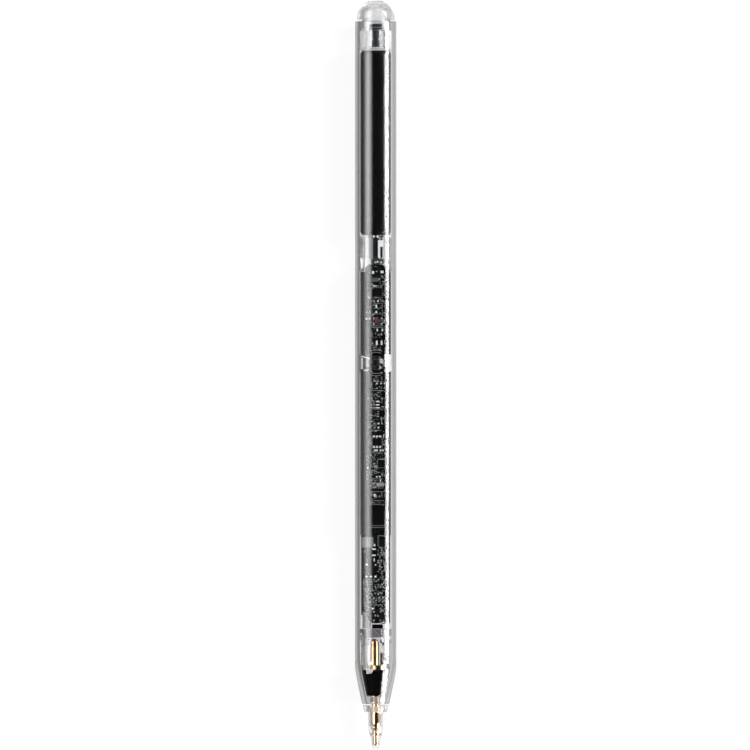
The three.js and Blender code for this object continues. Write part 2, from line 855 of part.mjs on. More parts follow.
// Bushing: clear guide ring in the throat, whose back face stops the rod's collar.
function noseBushing() {
  const throatEnd = noseStart + throatLength;
  const outline = [
    [rodBore, bushingStart],
    [throatRadius - holderGap, bushingStart],
    [throatRadius - holderGap, Math.max(throatEnd, bushingStart + fitGap)],
    [boreAt(bushingEnd) - holderGap, bushingEnd],
    [rodBore, bushingEnd],
  ];
  return turnedRing(outline);
}

// Tip rod: threaded stud in front, guided shaft, stop collar and a spigot for the flange.
function tipRod() {
  const sleeveEnd = collarEnd - shankShortfall - fitGap;
  const studStart = sleeveEnd - studEngagement;
  const collarFace = bushingEnd + fitGap;
  return turned([
    [0, studStart],
    [studRadius - fitGap, studStart],
    [studRadius, studStart + fitGap],
    [studRadius, sleeveEnd + fitGap],
    [rodRadius, sleeveEnd + fitGap],
    [rodRadius, collarFace],
    [rodCollarRadius, collarFace],
    [rodCollarRadius, collarFace + rodCollarLength],
    [rodRadius, collarFace + rodCollarLength],
    [rodRadius, flangeStart - fitGap],
    [rodSpigotRadius, flangeStart - fitGap],
    [rodSpigotRadius, flangeEnd],
    [0, flangeEnd],
  ]);
}

// Nib collar: clear ring round the nib's shank that carries the barrel's taper forward.
function nibCollar() {
  return turnedRing(
    [
      [shankRadius + fitGap, collarStart],
      [collarRadius, collarStart],
      [noseRadius - collarStep, collarEnd],
      [shankRadius + fitGap, collarEnd],
    ],
    fine,
  );
}

// Nib shell: clear, stepped at the point, with a shank in the collar and a bullet-shaped bore.
function nibShell() {
  const shankEnd = collarEnd - shankShortfall;
  const boreFront = sleeveStart() - fitGap;
  const socketEnd = nibStart + pointSpigotLength + fitGap;
  return turnedRing([
    [pointSpigotRadius + fitGap, nibStart],
    [nibFrontRadius, nibStart],
    [nibRadius, nibStart + nibTaperLength],
    [nibRadius, collarStart - fitGap],
    [shankRadius, collarStart - fitGap],
    [shankRadius, shankEnd],
    [shellBore, shankEnd],
    [shellBore, boreFront + sleeveNoseLength],
    [pinRadius + fitGap, boreFront],
    [pinRadius + fitGap, socketEnd],
    [pointSpigotRadius + fitGap, socketEnd],
  ]);
}

// Where the gold sleeve's closed front lies, just ahead of the stud.
function sleeveStart() {
  const studStart = collarEnd - shankShortfall - fitGap - studEngagement;
  return studStart - sleeveFrontWall - sleeveNoseLength + 3 * fitGap;
}

// Nib sleeve: gold insert with the thread for the stud, closed and bullet shaped in front.
function nibSleeve() {
  const start = sleeveStart();
  const end = collarEnd - shankShortfall - fitGap;
  const boreEnd = end - studEngagement - 2 * fitGap;
  return turned([
    [0, start],
    [pinRadius, start],
    [sleeveRadius, start + sleeveNoseLength],
    [sleeveRadius, end],
    [studRadius + fitGap, end],
    [studRadius + fitGap, boreEnd],
    [0, boreEnd],
  ]);
}

// Point: clear cone with a blunt end and a spigot in the nib, bored for its pin.
function nibPoint() {
  const spigotEnd = nibStart + pointSpigotLength;
  return turned([
    [0, 0],
    [0.6 * bluntRadius, 0.2 * bluntLength],
    [bluntRadius, bluntLength],
    [pointWaistRadius, pinSetback],
    [pointRadius, nibStart - 2 * fitGap],
    [pointSpigotRadius, nibStart - 2 * fitGap],
    [pointSpigotRadius, spigotEnd],
    [pinRadius + fitGap, spigotEnd],
    [pinRadius + fitGap, pinSetback + 2 * fitGap],
    [0, pinSetback],
  ]);
}

function pointPin() {
  const end = sleeveStart() - fitGap;
  return turned([
    [0, pinSetback + 2 * fitGap],
    [pinRadius - 3 * fitGap, pinSetback + 4 * fitGap],
    [pinRadius, pinSetback + 9 * fitGap],
    [pinRadius, end],
    [0, end],
  ]);
}

// Finishes
const clearPlastic = { color: 0xf4f6f7, roughness: 0.06, metalness: 0, transparent: true, opacity: 0.28 };
const blackPlastic = { color: 0x0d0d0f, roughness: 0.35, metalness: 0 };
const darkPlastic = { color: 0x2b2c2e, roughness: 0.5, metalness: 0 };
const blackBoard = { color: 0x101416, roughness: 0.45, metalness: 0 };
const greyPlastic = { color: 0x9a9b9d, roughness: 0.5, metalness: 0 };
const goldPlate = { color: 0xd9a441, roughness: 0.22, metalness: 1 };
const bronzeWire = { color: 0x7a5238, roughness: 0.35, metalness: 0.9 };
const springSteel = { color: 0xb9bcc0, roughness: 0.3, metalness: 0.9 };
const nickelPlate = { color: 0xa8abb0, roughness: 0.28, metalness: 1 };
const copperWire = { color: 0xb4693a, roughness: 0.35, metalness: 0.9 };
const darkFerrite = { color: 0x26262a, roughness: 0.7, metalness: 0.1 };
const amberFilm = { color: 0x6d6470, roughness: 0.4, metalness: 0 };

// The pen's own group, turned so that its length runs along X and its flat side rests on Z = 0
const pen = new THREE.Group();
pen.rotation.z = -Math.PI / 2;
pen.position.set(-penLength / 2, 0, axisHeight);

function place(name, geometry, finish) {
  const mesh = new THREE.Mesh(geometry, new THREE.MeshStandardMaterial(finish));
  mesh.name = name;
  pen.add(mesh);
}

place("barrel", barrel(), clearPlastic);
place("end_cap", endCap(), clearPlastic);
place("cap_guide", capGuide(), clearPlastic);
place("switch_plunger", switchPlunger(), darkPlastic);
place("switch_body", switchBody(), darkPlastic);
place(
  "switch_board",
  rod(switchBoardRadius, switchBoardStart, switchBoardStart + switchBoardThickness),
  blackBoard,
);
place("switch_strip", switchStrip(), amberFilm);
place("cell_rear_pad", tube(coreRadius - 3 * fitGap, padHole, padStart, padEnd, fine), greyPlastic);
place("battery_cell", batteryCell(), blackPlastic);
place("cell_front_ring", cellFrontRing(), clearPlastic);
place("cell_coupler", cellCoupler(), clearPlastic);

const leadPlateStart = boardEnd + 2 * fitGap;
const leadStart = leadPlateStart + leadPlateLength + fitGap;
const leadEnd = ringStart - fitGap;
place(
  "lead_plate",
  block(
    [-leadPlateLeft, leadPlateStart, boardBottom + fitGap],
    [leadPlateRight, leadPlateStart + leadPlateLength, boardBottom + fitGap + leadPlateThickness],
  ),
  greyPlastic,
);
place("positive_lead", lead([-leadSpread / 2, leadSpread / 2], leadStart, leadEnd), blackPlastic);
place("negative_lead", lead([negativeLeadOffset], leadStart, leadEnd), blackPlastic);
place(
  "terminal_block",
  block(
    [terminalOffset - terminalWidth / 2, leadStart, boardBottom + fitGap],
    [terminalOffset + terminalWidth / 2, leadEnd, boardTop + leadRadius],
  ),
  greyPlastic,
);

place("board_carrier", boardCarrier(), darkPlastic);
place("main_board", mainBoard(), blackBoard);
for (const [name, centreX, station, width, length, height, color, roughness, metalness] of chips) {
  place(name, chip(centreX, station, width, length, height), { color, roughness, metalness });
}
place("rear_magnet", magnet(boardEnd - rearMagnetAt), nickelPlate);
place("front_magnet", magnet(boardStart + frontMagnetAt), nickelPlate);
place("charging_coil", chargingCoil(), copperWire);
place("coil_ferrite", coilFerrite(), darkFerrite);
place("retainer_collar", retainerCollar(), clearPlastic);
place("retainer_screw", retainerScrew(), darkPlastic);

place("board_plug", boardPlug(), blackPlastic);
place("sensor_flex", sensorFlex(), amberFilm);
place("sensor_holder", sensorHolder(), clearPlastic);
place("contact_tube", contactTube(), goldPlate);
place("contact_base", contactBase(), goldPlate);
place(
  "side_spring",
  woundWire("side_spring", {
    coilRadius: sideSpringRadius,
    wire: sideWire,
    pitch: sidePitch,
    curls: sideCurls,
    offset: sideSpringOffset,
    start: contactStart,
  }),
  bronzeWire,
);
place("nose_cone", noseCone(), blackPlastic);
place("nose_bushing", noseBushing(), clearPlastic);
place("tip_rod", tipRod(), goldPlate);
place(
  "tip_spring",
  woundWire("tip_spring", {
    coilRadius: tipSpringRadius,
    wire: tipWire,
    pitch: tipPitch,
    curls: tipCurls,
    offset: 0,
    start: coneEnd - coneBackWall - fitGap - tipCurls * tipPitch - 2 * tipWire,
  }),
  springSteel,
);

place("nib_collar", nibCollar(), clearPlastic);
place("nib_shell", nibShell(), clearPlastic);
place("nib_sleeve", nibSleeve(), goldPlate);
place("nib_point", nibPoint(), clearPlastic);
place("point_pin", pointPin(), goldPlate);

const group = new THREE.Group();
group.add(pen);
export default group;
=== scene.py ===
# Stylus pen in a clear barrel, lying on its flat side, seen square-on from above.
# Metres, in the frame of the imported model; sizes in the sections are millimetres.
import math
import random

import bmesh
import bpy
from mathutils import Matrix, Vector


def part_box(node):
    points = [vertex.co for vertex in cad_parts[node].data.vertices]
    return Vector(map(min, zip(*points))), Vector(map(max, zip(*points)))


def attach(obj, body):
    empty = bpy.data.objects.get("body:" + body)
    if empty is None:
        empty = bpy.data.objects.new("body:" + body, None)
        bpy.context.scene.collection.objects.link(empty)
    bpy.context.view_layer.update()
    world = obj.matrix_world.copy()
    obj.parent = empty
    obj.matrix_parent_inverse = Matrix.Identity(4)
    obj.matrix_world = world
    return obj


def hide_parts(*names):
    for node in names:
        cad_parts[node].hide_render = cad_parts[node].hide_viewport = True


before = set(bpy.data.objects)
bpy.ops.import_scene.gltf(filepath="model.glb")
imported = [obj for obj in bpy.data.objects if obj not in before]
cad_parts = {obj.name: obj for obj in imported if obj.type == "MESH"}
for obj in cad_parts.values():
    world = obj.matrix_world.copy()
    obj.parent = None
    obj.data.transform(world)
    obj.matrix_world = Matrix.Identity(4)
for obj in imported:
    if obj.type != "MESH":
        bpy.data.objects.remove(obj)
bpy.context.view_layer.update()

# Viewpoint. The pen is seen from straight above with its cap up in the picture.
# A long lens stands far enough away for the whole pen to fill a square picture.
MM = 0.001
PEN_LENGTH = 163.0
AXIS_HEIGHT = 4.15
PICTURE_LENGTH = 163.54
LENS = 400.0
SENSOR = 36.0
# where the middle of the picture lies, [along, across] in metres
PICTURE_MIDDLE = (-0.000065, 0.00014)

camera_data = bpy.data.cameras.new("viewpoint")
camera_data.lens = LENS
camera_data.sensor_width = SENSOR
camera_data.clip_start = 0.05
camera_data.clip_end = 50.0
camera = bpy.data.objects.new("viewpoint", camera_data)
bpy.context.scene.collection.objects.link(camera)
camera_rise = PICTURE_LENGTH * MM * LENS / SENSOR + AXIS_HEIGHT * MM
camera.location = (*PICTURE_MIDDLE, camera_rise)
camera.rotation_euler = (0, 0, -math.pi / 2)
bpy.context.scene.camera = camera


# Studio. A pale floor, plain soft lamps for colour, and cards that only gloss and clear plastic show:
# a narrow bright strip on one side, and a soft card and a small window on the other, give the
# long reflections. The floor has a painted shadow under the pen and painted shade beside it,
# which only gloss and clear plastic show. Distances in this section are metres.
class Value:
    """A number that varies over a surface, written in ordinary sums."""

    def __init__(self, wiring, socket):
        self.wiring, self.socket = wiring, socket

    def sum(self, operation, first, second=None):
        sockets = {0: first} if second is None else {0: first, 1: second}
        made = self.wiring.node("ShaderNodeMath", {"operation": operation}, sockets)
        return Value(self.wiring, made.outputs[0])

    def __add__(self, other):
        return self.sum("ADD", self, other)

    __radd__ = __add__

    def __sub__(self, other):
        return self.sum("SUBTRACT", self, other)

    def __rsub__(self, other):
        return self.sum("SUBTRACT", other, self)

    def __mul__(self, other):
        return self.sum("MULTIPLY", self, other)

    __rmul__ = __mul__

    def __truediv__(self, other):
        return self.sum("DIVIDE", self, other)

    def __neg__(self):
        return self.sum("MULTIPLY", self, -1.0)

    def __abs__(self):
        return self.sum("ABSOLUTE", self)

    def power(self, other):
        return self.sum("POWER", self, other)

    def larger(self, other):
        return self.sum("MAXIMUM", self, other)

    def reach(self, other):
        """How far a place lies from the middle, from its distances along two directions."""
        return (self * self + other * other).power(0.5)

    def turn_from(self, other):
        """The angle of two sides, in radians."""
        return self.sum("ARCTAN2", self, other)

    def over(self, other):
        return self.sum("GREATER_THAN", self, other)

    def wrapped(self, period):
        return self.sum("MODULO", self, period)

    def step(self, low, high):
        """0 below low and 1 above high, with a smooth rise between them."""
        made = self.wiring.node(
            "ShaderNodeMapRange",
            {"interpolation_type": "SMOOTHSTEP"},
            {"Value": self, "From Min": low, "From Max": high},
        )
        return Value(self.wiring, made.outputs[0])


class Wiring:
    """A node tree that is wired by one method."""

    def __init__(self, tree):
        self.tree = tree

    def node(self, kind, settings=None, sockets=None):
        made = self.tree.nodes.new(kind)
        for name, value in (settings or {}).items():
            setattr(made, name, value)
        for name, value in (sockets or {}).items():
            if isinstance(value, Value):
                value = value.socket
            if isinstance(value, bpy.types.NodeSocket):
                self.tree.links.new(value, made.inputs[name])
            else:
                made.inputs[name].default_value = value
        return made


def colour(red, green, blue):
    """A colour as seen, in parts of 255, for a shader's socket."""
    parts = [part / 255 for part in (red, green, blue)]
    return (*[part / 12.92 if part <= 0.04045 else ((part + 0.055) / 1.055) ** 2.4 for part in parts], 1.0)


class Finish(Wiring):
    """A material, with the places on its piece and the shaders that close it."""

    def __init__(self, name):
        self.material = bpy.data.materials.new(name)
        self.material.use_nodes = True
        self.material.node_tree.nodes.clear()
        super().__init__(self.material.node_tree)
        self.output = self.node("ShaderNodeOutputMaterial")
        self.place = self.node("ShaderNodeTexCoord").outputs["Object"]
        split = self.node("ShaderNodeSeparateXYZ", None, {0: self.place})
        self.along, self.across, self.up = (Value(self, split.outputs[axis]) for axis in (0, 1, 2))

    def grain(self, size, detail=3.0, stretch=None):
        """Uneven patches of a size in millimetres, from 0 to 1.

        A stretch of (along, across, up) scales each direction, so that the grain runs one way.
        """
        place = self.place
        if stretch:
            place = self.node("ShaderNodeMapping", None, {"Vector": place, "Scale": stretch}).outputs[0]
        made = self.node(
            "ShaderNodeTexNoise",
            {"noise_dimensions": "3D"},
            {"Vector": place, "Scale": 1000.0 / size, "Detail": detail},
        )
        return Value(self, made.outputs[0])

    def mixed(self, share, first, second):
        settings = {"data_type": "RGBA", "clamp_factor": True}
        return self.node("ShaderNodeMix", settings, {0: share, 6: first, 7: second}).outputs[2]

    def uneven(self, height, depth):
        """A normal from a height of 0 to 1 over a depth in millimetres."""
        made = self.node("ShaderNodeBump", None, {"Height": height, "Distance": depth * MM, "Strength": 1.0})
        return made.outputs[0]

    def plain(self, **sockets):
        """The one surface shader, its sockets named with underscores for spaces."""
        named = {name.replace("_", " "): value for name, value in sockets.items()}
        return self.node("ShaderNodeBsdfPrincipled", None, named).outputs[0]

    def close(self, shader):
        self.tree.links.new(shader, self.output.inputs[0])
        return self.material

    def surface(self, **sockets):
        """The finished material, with the one surface shader alone."""
        return self.close(self.plain(**sockets))

    def glow(self, strength, tint=(1, 1, 1, 1)):
        """The finished material, as a plain light."""
        light = self.node("ShaderNodeEmission", None, {"Color": tint, "Strength": strength})
        return self.close(light.outputs[0])


def rays(wiring, *kinds):
    """Whether a ray is of each of these kinds, 1 or 0, or how often it was mirrored."""
    path = wiring.node("ShaderNodeLightPath")
    return [Value(wiring, path.outputs[kind]) for kind in kinds]


def stage_sheet(name, corners, material, seen_by):
    """A flat sheet round the pen that only these kinds of ray meet."""
    mesh = bpy.data.meshes.new(name)
    mesh.from_pydata([tuple(corner) for corner in corners], [], [tuple(range(len(corners)))])
    mesh.materials.append(material)
    sheet = bpy.data.objects.new(name, mesh)
    bpy.context.scene.collection.objects.link(sheet)
    for ray in ("camera", "diffuse", "glossy", "transmission", "shadow"):
        setattr(sheet, "visible_" + ray, ray in seen_by)


FLOOR_REACH = 1.6
FLOOR_DROP = 0.00002
FLOOR_GLOW = 0.86
# [distance beside the pen in millimetres, brightness] of the floor as the clear wall mirrors it:
# a painted shade beside the pen, standing in for its shadow
PAINTED_SHADE_LEFT = ((4.0, 0.5), (5.6, 0.44), (7.6, 0.2), (10.0, 0.07), (14.0, 0.04), (60.0, 0.02))
PAINTED_SHADE_RIGHT = ((4.0, 0.5), (6.3, 0.24), (8.3, 0.26), (10.0, 0.42), (14.0, 0.45), (60.0, 0.5))
# brightness of the floor seen through the pen: a painted shadow of the pen on the floor
THROUGH_GLOW = 0.72
# where the painted shadow of the pen, on the floor seen through it, grows darker, under the nose
NOSE_END, NOSE_START = -0.068, -0.062
floor_finish = Finish("floor_paper")
by_camera, by_gloss, through, bounces = rays(
    floor_finish, "Is Camera Ray", "Is Glossy Ray", "Is Transmission Ray", "Glossy Depth"
)
mirrored_once = bounces.over(0.5)


def ramp_over(finish, value, stops):
    """A brightness that follows straight lines between [position, brightness] stops."""
    low, high = stops[0][0], stops[-1][0]
    share = finish.node("ShaderNodeMapRange", None, {"Value": value, "From Min": low, "From Max": high})
    made = finish.node("ShaderNodeValToRGB", None, {"Fac": share.outputs[0]})
    while len(made.color_ramp.elements) < len(stops):
        made.color_ramp.elements.new(0.5)
    for element, (position, brightness) in zip(made.color_ramp.elements, stops):
        element.position = (position - low) / (high - low)
        element.color = (brightness, brightness, brightness, 1)
    return Value(finish, made.outputs[0])


beside = floor_finish.across * (1 / MM)
on_left = beside.over(0.0)
# painted shade on the floor beside the pen, seen only where the clear wall mirrors the floor
painted_shade = ramp_over(floor_finish, beside, PAINTED_SHADE_LEFT) * on_left
painted_shade = painted_shade + ramp_over(floor_finish, -beside, PAINTED_SHADE_RIGHT) * (1.0 - on_left)
# painted shadow under the barrel, seen through the pen
under_barrel = floor_finish.along.step(NOSE_END, NOSE_START)
through_light = FLOOR_GLOW - under_barrel * (FLOOR_GLOW - THROUGH_GLOW)
inner_light = mirrored_once * painted_shade + (1.0 - mirrored_once) * through_light
floor_light = by_camera * FLOOR_GLOW + (1.0 - by_camera) * by_gloss.larger(through) * inner_light
paper = floor_finish.grain(3.0)
floor_material = floor_finish.surface(
    Base_Color=floor_finish.mixed(paper * 0.06, (0.16, 0.16, 0.16, 1), (0.15, 0.15, 0.152, 1)),
    Roughness=0.9,
    Specular_IOR_Level=0.0,
    Emission_Color=(1, 1, 1, 1),
    Emission_Strength=floor_light,
)
floor_sides = ((-1, -1), (1, -1), (1, 1), (-1, 1))
floor_corners = [(FLOOR_REACH * x, FLOOR_REACH * y, -FLOOR_DROP) for x, y in floor_sides]
stage_sheet("floor", floor_corners, floor_material, ("camera", "diffuse", "glossy", "transmission", "shadow"))
CARD_REACH = 0.35


def side_card(name, low, high, side, ends, material):
    """A flat card along the pen that fills the angles from low to high, in degrees from straight up."""
    middle, half = math.radians((low + high) / 2), math.radians((high - low) / 2)
    axis = Vector((0, 0, AXIS_HEIGHT * MM))
    out = Vector((0, side * math.sin(middle), math.cos(middle)))
    wide = Vector((0, side * math.cos(middle), -math.sin(middle))) * (CARD_REACH * math.tan(half))
    first, last = (axis + out * CARD_REACH + Vector((end, 0, 0)) for end in ends)
    corners = [first - wide, last - wide, last + wide, first + wide]
    stage_sheet(name, corners, material, ("glossy", "transmission"))


STRIP_RADIANCE = 26.0
strip_face = Finish("strip_card_face").glow(STRIP_RADIANCE)
side_card("strip_card", 63.0, 77.5, -1, (-0.0765, 0.4), strip_face)
side_card("nose_strip_card", 55.0, 80.0, -1, (-0.4, -0.12), strip_face)

SOFT_RADIANCE = 5.2
SOFT_PEAK = 48.0
SOFT_SPREAD = 33.0
soft_finish = Finish("soft_card_face")
soft_angle = soft_finish.across.turn_from(soft_finish.up - AXIS_HEIGHT * MM)
from_peak = abs(soft_angle - math.radians(SOFT_PEAK)) / math.radians(SOFT_SPREAD)
soft_face = soft_finish.glow((1.0 - from_peak.step(0.0, 1.0)) * SOFT_RADIANCE)
side_card("soft_card", SOFT_PEAK - SOFT_SPREAD, SOFT_PEAK + SOFT_SPREAD, 1, (-0.125, 0.4), soft_face)

WINDOW_RADIANCE = 13.0
window_face = Finish("window_card_face").glow(WINDOW_RADIANCE, (1.0, 0.94, 0.95, 1))
side_card("window_card", 18.0, 56.0, 1, (-0.186, -0.13), window_face)


def sun(name, direction, strength, spread):
    """A far soft lamp for colour alone, which no gloss shows."""
    data = bpy.data.lights.new(name, "SUN")
    data.energy = strength
    data.angle = math.radians(spread)
    lamp = bpy.data.objects.new(name, data)
    lamp.rotation_euler = Vector(direction).to_track_quat("Z", "Y").to_euler()
    lamp.visible_glossy = False
    lamp.visible_transmission = False
    bpy.context.scene.collection.objects.link(lamp)


sun("side_lamp", (0.25, -1.0, 0.7), 2.0, 20)
sun("overhead_lamp", (-0.15, 0.35, 1.0), 1.1, 40)

world = bpy.data.worlds.new("room")
bpy.context.scene.world = world
world.use_nodes = True
world.node_tree.nodes.clear()
room = Wiring(world.node_tree)
room_places = room.node("ShaderNodeTexCoord").outputs["Generated"]
room_split = room.node("ShaderNodeSeparateXYZ", None, {0: room_places})
white_room, room_gloss, room_through, room_bounces = rays(
    room, "Is Camera Ray", "Is Glossy Ray", "Is Transmission Ray", "Glossy Depth"
)
mirrored = room_gloss.larger(room_through)
ROOM_FILL = 0.35
ROOM_TOP = 0.015
# how far up the room's bright band fades, as the sine of the angle
ROOM_FADE = (0.14, 0.34)
# how much of the band is gone on the left, as a clear wall mirrors it
LEFT_SHADE = 0.92
room_height = Value(room, room_split.outputs[2]).step(*ROOM_FADE)
room_left = Value(room, room_split.outputs[1]).over(0.0)
horizon = 1.0 - room_left * room_bounces.over(0.5) * LEFT_SHADE
mirrored_light = horizon * (1.0 - room_height) + room_height * ROOM_TOP
room_strength = white_room + (1.0 - white_room) * (mirrored * mirrored_light + (1.0 - mirrored) * ROOM_FILL)
room_glow = room.node("ShaderNodeBackground", None, {"Color": (1, 1, 1, 1), "Strength": room_strength})
room.tree.links.new(room_glow.outputs[0], room.node("ShaderNodeOutputWorld").inputs[0])
bpy.context.scene.view_settings.view_transform = "Standard"

# Barrel. One long injection moulding in clear acrylic, polished outside and in the bore,
# with a tapered nose and one flat side that rests on the table.
SIDES = 160
BARREL_RADIUS = 4.5


def at_mm(across, along, up):
    """A place in millimetres across the pen, along it from the point, and up from its middle line."""
    return Vector(((along - PEN_LENGTH / 2) * MM, -across * MM, (AXIS_HEIGHT + up) * MM))


def eased(outline, radius, slow_radius=12.0, closed=True, steps=4):
    """An outline in [radius, station] with each corner rounded, and a support point beside each arc."""
    count = len(outline)
    points = []
    for index, corner in enumerate(outline):
        here = Vector(corner)
        if not closed and index in (0, count - 1):
            points.append(here)
            continue
        before, after = Vector(outline[index - 1]), Vector(outline[(index + 1) % count])
        into, away = before - here, after - here
        room_in, room_out = into.length, away.length
        into.normalize()
        away.normalize()
        turn = math.pi - into.angle(away)
        if turn < math.radians(1):
            points.append(here)
            continue
        wanted = radius if turn > math.radians(24) else slow_radius
        reach = min(wanted * math.tan(turn / 2), 0.4 * room_in, 0.4 * room_out)
        arc = reach / math.tan(turn / 2)
        middle_way = (into + away).normalized()
        centre = here + middle_way * (arc / math.cos(turn / 2))
        start, end = here + into * reach, here + away * reach
        support_in = min(0.3, 0.3 * (room_in - reach))
        support_out = min(0.3, 0.3 * (room_out - reach))
        points.append(start + into * support_in)
        first, last = start - centre, end - centre
        for step in range(steps + 1):
            points.append(centre + first.lerp(last, step / steps).normalized() * arc)
        points.append(end + away * support_out)
    return [(max(0.0, point.x), point.y) for point in points]


def as_mesh(work, name, join=0.0):
    """The finished mesh, its points joined where they are closer than join, and its faces outward."""
    if join:
        bmesh.ops.remove_doubles(work, verts=work.verts, dist=join)
    bmesh.ops.recalc_face_normals(work, faces=work.faces)
    mesh = bpy.data.meshes.new(name)
    work.to_mesh(mesh)
    work.free()
    return mesh


def turned(name, outline, closed=True, centre=(0.0, 0.0), flat=False, sides=SIDES):
    """A mesh turned about a line along the pen, from an outline of [radius, station] in millimetres."""
    turns = [2 * math.pi * step / sides for step in range(sides)]
    if flat:
        edge = math.acos(AXIS_HEIGHT / BARREL_RADIUS)
        turns = sorted(turns + [math.pi - edge, math.pi + edge])
    work = bmesh.new()
    rings = []
    for radius, station in outline:
        if radius < 1e-5:
            rings.append([work.verts.new(at_mm(centre[0], station, centre[1]))])
            continue
        ring = []
        for turn in turns:
            across, up = -radius * math.sin(turn), radius * math.cos(turn)
            place = at_mm(centre[0] + across, station, centre[1] + up)
            if flat:
                place.z = max(place.z, 0.0)
            ring.append(work.verts.new(place))
        rings.append(ring)
    pairs = list(zip(rings, rings[1:]))
    if closed:
        pairs.append((rings[-1], rings[0]))
    for low, high in pairs:
        for step in range(len(turns)):
            after = (step + 1) % len(turns)
            if len(low) == 1 and len(high) == 1:
                continue
            if len(low) == 1:
                corners = (low[0], high[step], high[after])
            elif len(high) == 1:
                corners = (low[step], low[after], high[0])
            else:
                corners = (low[step], low[after], high[after], high[step])
            work.faces.new(corners)
    return as_mesh(work, name, 1e-8)


def smoothed(mesh, angle=35):
    """The mesh with smooth faces, and sharp edges where they turn by more than an angle."""
    mesh.polygons.foreach_set("use_smooth", [True] * len(mesh.polygons))
    mesh.set_sharp_from_angle(angle=math.radians(angle))
    mesh.update()
    return mesh


def fitted(mesh, material, body, nodes=(), angle=35):
    """Puts a finished piece on its body, in place of its CAD nodes."""
    smoothed(mesh, angle)
    mesh.materials.clear()
    mesh.materials.append(material)
    made = bpy.data.objects.new(mesh.name, mesh)
    bpy.context.scene.collection.objects.link(made)
    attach(made, body)
    if nodes:
        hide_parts(*nodes)
    return made


def turned_piece(node, name, outline, ease, material, body, slot, slow=12.0, closed=True, **shape):
    """A piece turned from an outline with eased corners, in place of a CAD node."""
    points = eased(outline, ease, slow, closed)
    return fitted(turned(name, points, closed, **shape), material, body, [node])


MOULDED_TINT = (0.93, 0.932, 0.935, 1)


def clear_plastic(name, dull=0.004, matt_places=(), tint=MOULDED_TINT, index=1.38, marks=0.0012, rubbed=0.03):
    """Clear plastic: lamps and soft light pass it, so what is inside is lit as it is in the room.

    Each of matt_places gives the share of a matt colour over the plastic, and that colour.
    """
    finish = Finish(name)
    flow = finish.grain(0.9, 2.0, (0.15, 1.0, 1.0))
    specks = finish.grain(0.12, 1.0)
    body = finish.plain(
        Base_Color=finish.mixed(flow * 0.5, tint, (1, 1, 1, 1)),
        Roughness=dull + specks.step(0.62, 0.8) * rubbed,
        Normal=finish.uneven(flow, marks),
        Transmission_Weight=1.0,
        IOR=index,
    )
    for matt_place in matt_places:
        share, matt_tint = matt_place(finish)
        matt = finish.plain(Base_Color=colour(*matt_tint), Roughness=0.55, Specular_IOR_Level=0.2)
        body = finish.node("ShaderNodeMixShader", None, {0: share, 1: body, 2: matt}).outputs[0]
    in_shadow, by_soft_light = rays(finish, "Is Shadow Ray", "Is Diffuse Ray")
    lit = in_shadow.larger(by_soft_light)
    through = finish.node("ShaderNodeBsdfTransparent", None, {"Color": (0.97, 0.975, 0.98, 1)}).outputs[0]
    made = finish.node("ShaderNodeMixShader", None, {0: lit, 1: body, 2: through})
    return finish.close(made.outputs[0])


barrel_plastic = clear_plastic(
    "clear_barrel_acrylic", tint=(0.9, 0.905, 0.91, 1), index=1.49, marks=0.00015, rubbed=0.012
)
BARREL_OUTLINE = [
    (1.9, 9.75), (2.95, 9.75), (BARREL_RADIUS, 17.1), (BARREL_RADIUS, 158.5),
    (3.52, 158.5), (3.52, 18.5), (1.9, 10.15),
]
turned_piece(
    "barrel", "barrel_moulding", BARREL_OUTLINE, 0.14, barrel_plastic, "barrel", "clear_barrel", flat=True
)

# Cell. A round lithium cell, its can shrink-wrapped in black film that folds over both ends,
# with a clear ring in front, a grey felt pad behind and the flex strip passing under it.
CELL_RADIUS = 3.35
cell_film = Finish("cell_wrap_film")
film_wave = cell_film.grain(2.2, 2.0, (0.25, 1.0, 1.0))
film_speck = cell_film.grain(0.08, 2.0)
cell_material = cell_film.surface(
    Base_Color=cell_film.mixed(film_speck, colour(4, 4, 5), colour(10, 10, 12)),
    Roughness=0.14 + film_speck * 0.05,
    Normal=cell_film.uneven(film_wave + film_speck * 0.05, 0.003),
    Specular_IOR_Level=0.45,
)
CELL_OUTLINE = [
    (0.0, 112.1), (1.5, 112.1), (1.7, 111.96), (2.9, 111.96), (CELL_RADIUS, 112.5),
    (CELL_RADIUS, 151.5), (2.9, 152.04), (1.7, 152.04), (1.5, 151.9), (0.0, 151.9),
]
turned_piece(
    "battery_cell", "battery_cell_wrap", CELL_OUTLINE, 0.4, cell_material, "barrel", "black_wrap",
    closed=False,
)


def grained(
    name, dark, light, rough, rougher=0.15, size=0.12, depth=0.008, detail=3.0, stretch=None,
    metal=0.0, shine=0.25,
):
    """A material whose colour, gloss and surface follow one fine grain."""
    finish = Finish(name)
    fine = finish.grain(size, detail, stretch)
    sockets = {"Normal": finish.uneven(fine, depth)} if depth else {}
    return finish.surface(
        Base_Color=finish.mixed(fine, colour(*dark), colour(*light)),
        Roughness=rough + fine * rougher if rougher else rough,
        Metallic=metal,
        Specular_IOR_Level=shine,
        **sockets,
    )


felt = grained("grey_felt", (196, 196, 198), (226, 226, 227), 0.9, 0.0, 0.1, 0.03, 4.0, shine=0.5)
FELT_OUTLINE = [(0.8, 152.1), (3.2, 152.1), (3.2, 152.35), (0.8, 152.35)]
turned_piece("cell_rear_pad", "cell_rear_felt", FELT_OUTLINE, 0.06, felt, "barrel", "grey_insulator")

holder_plastic = clear_plastic("clear_holder_moulding")


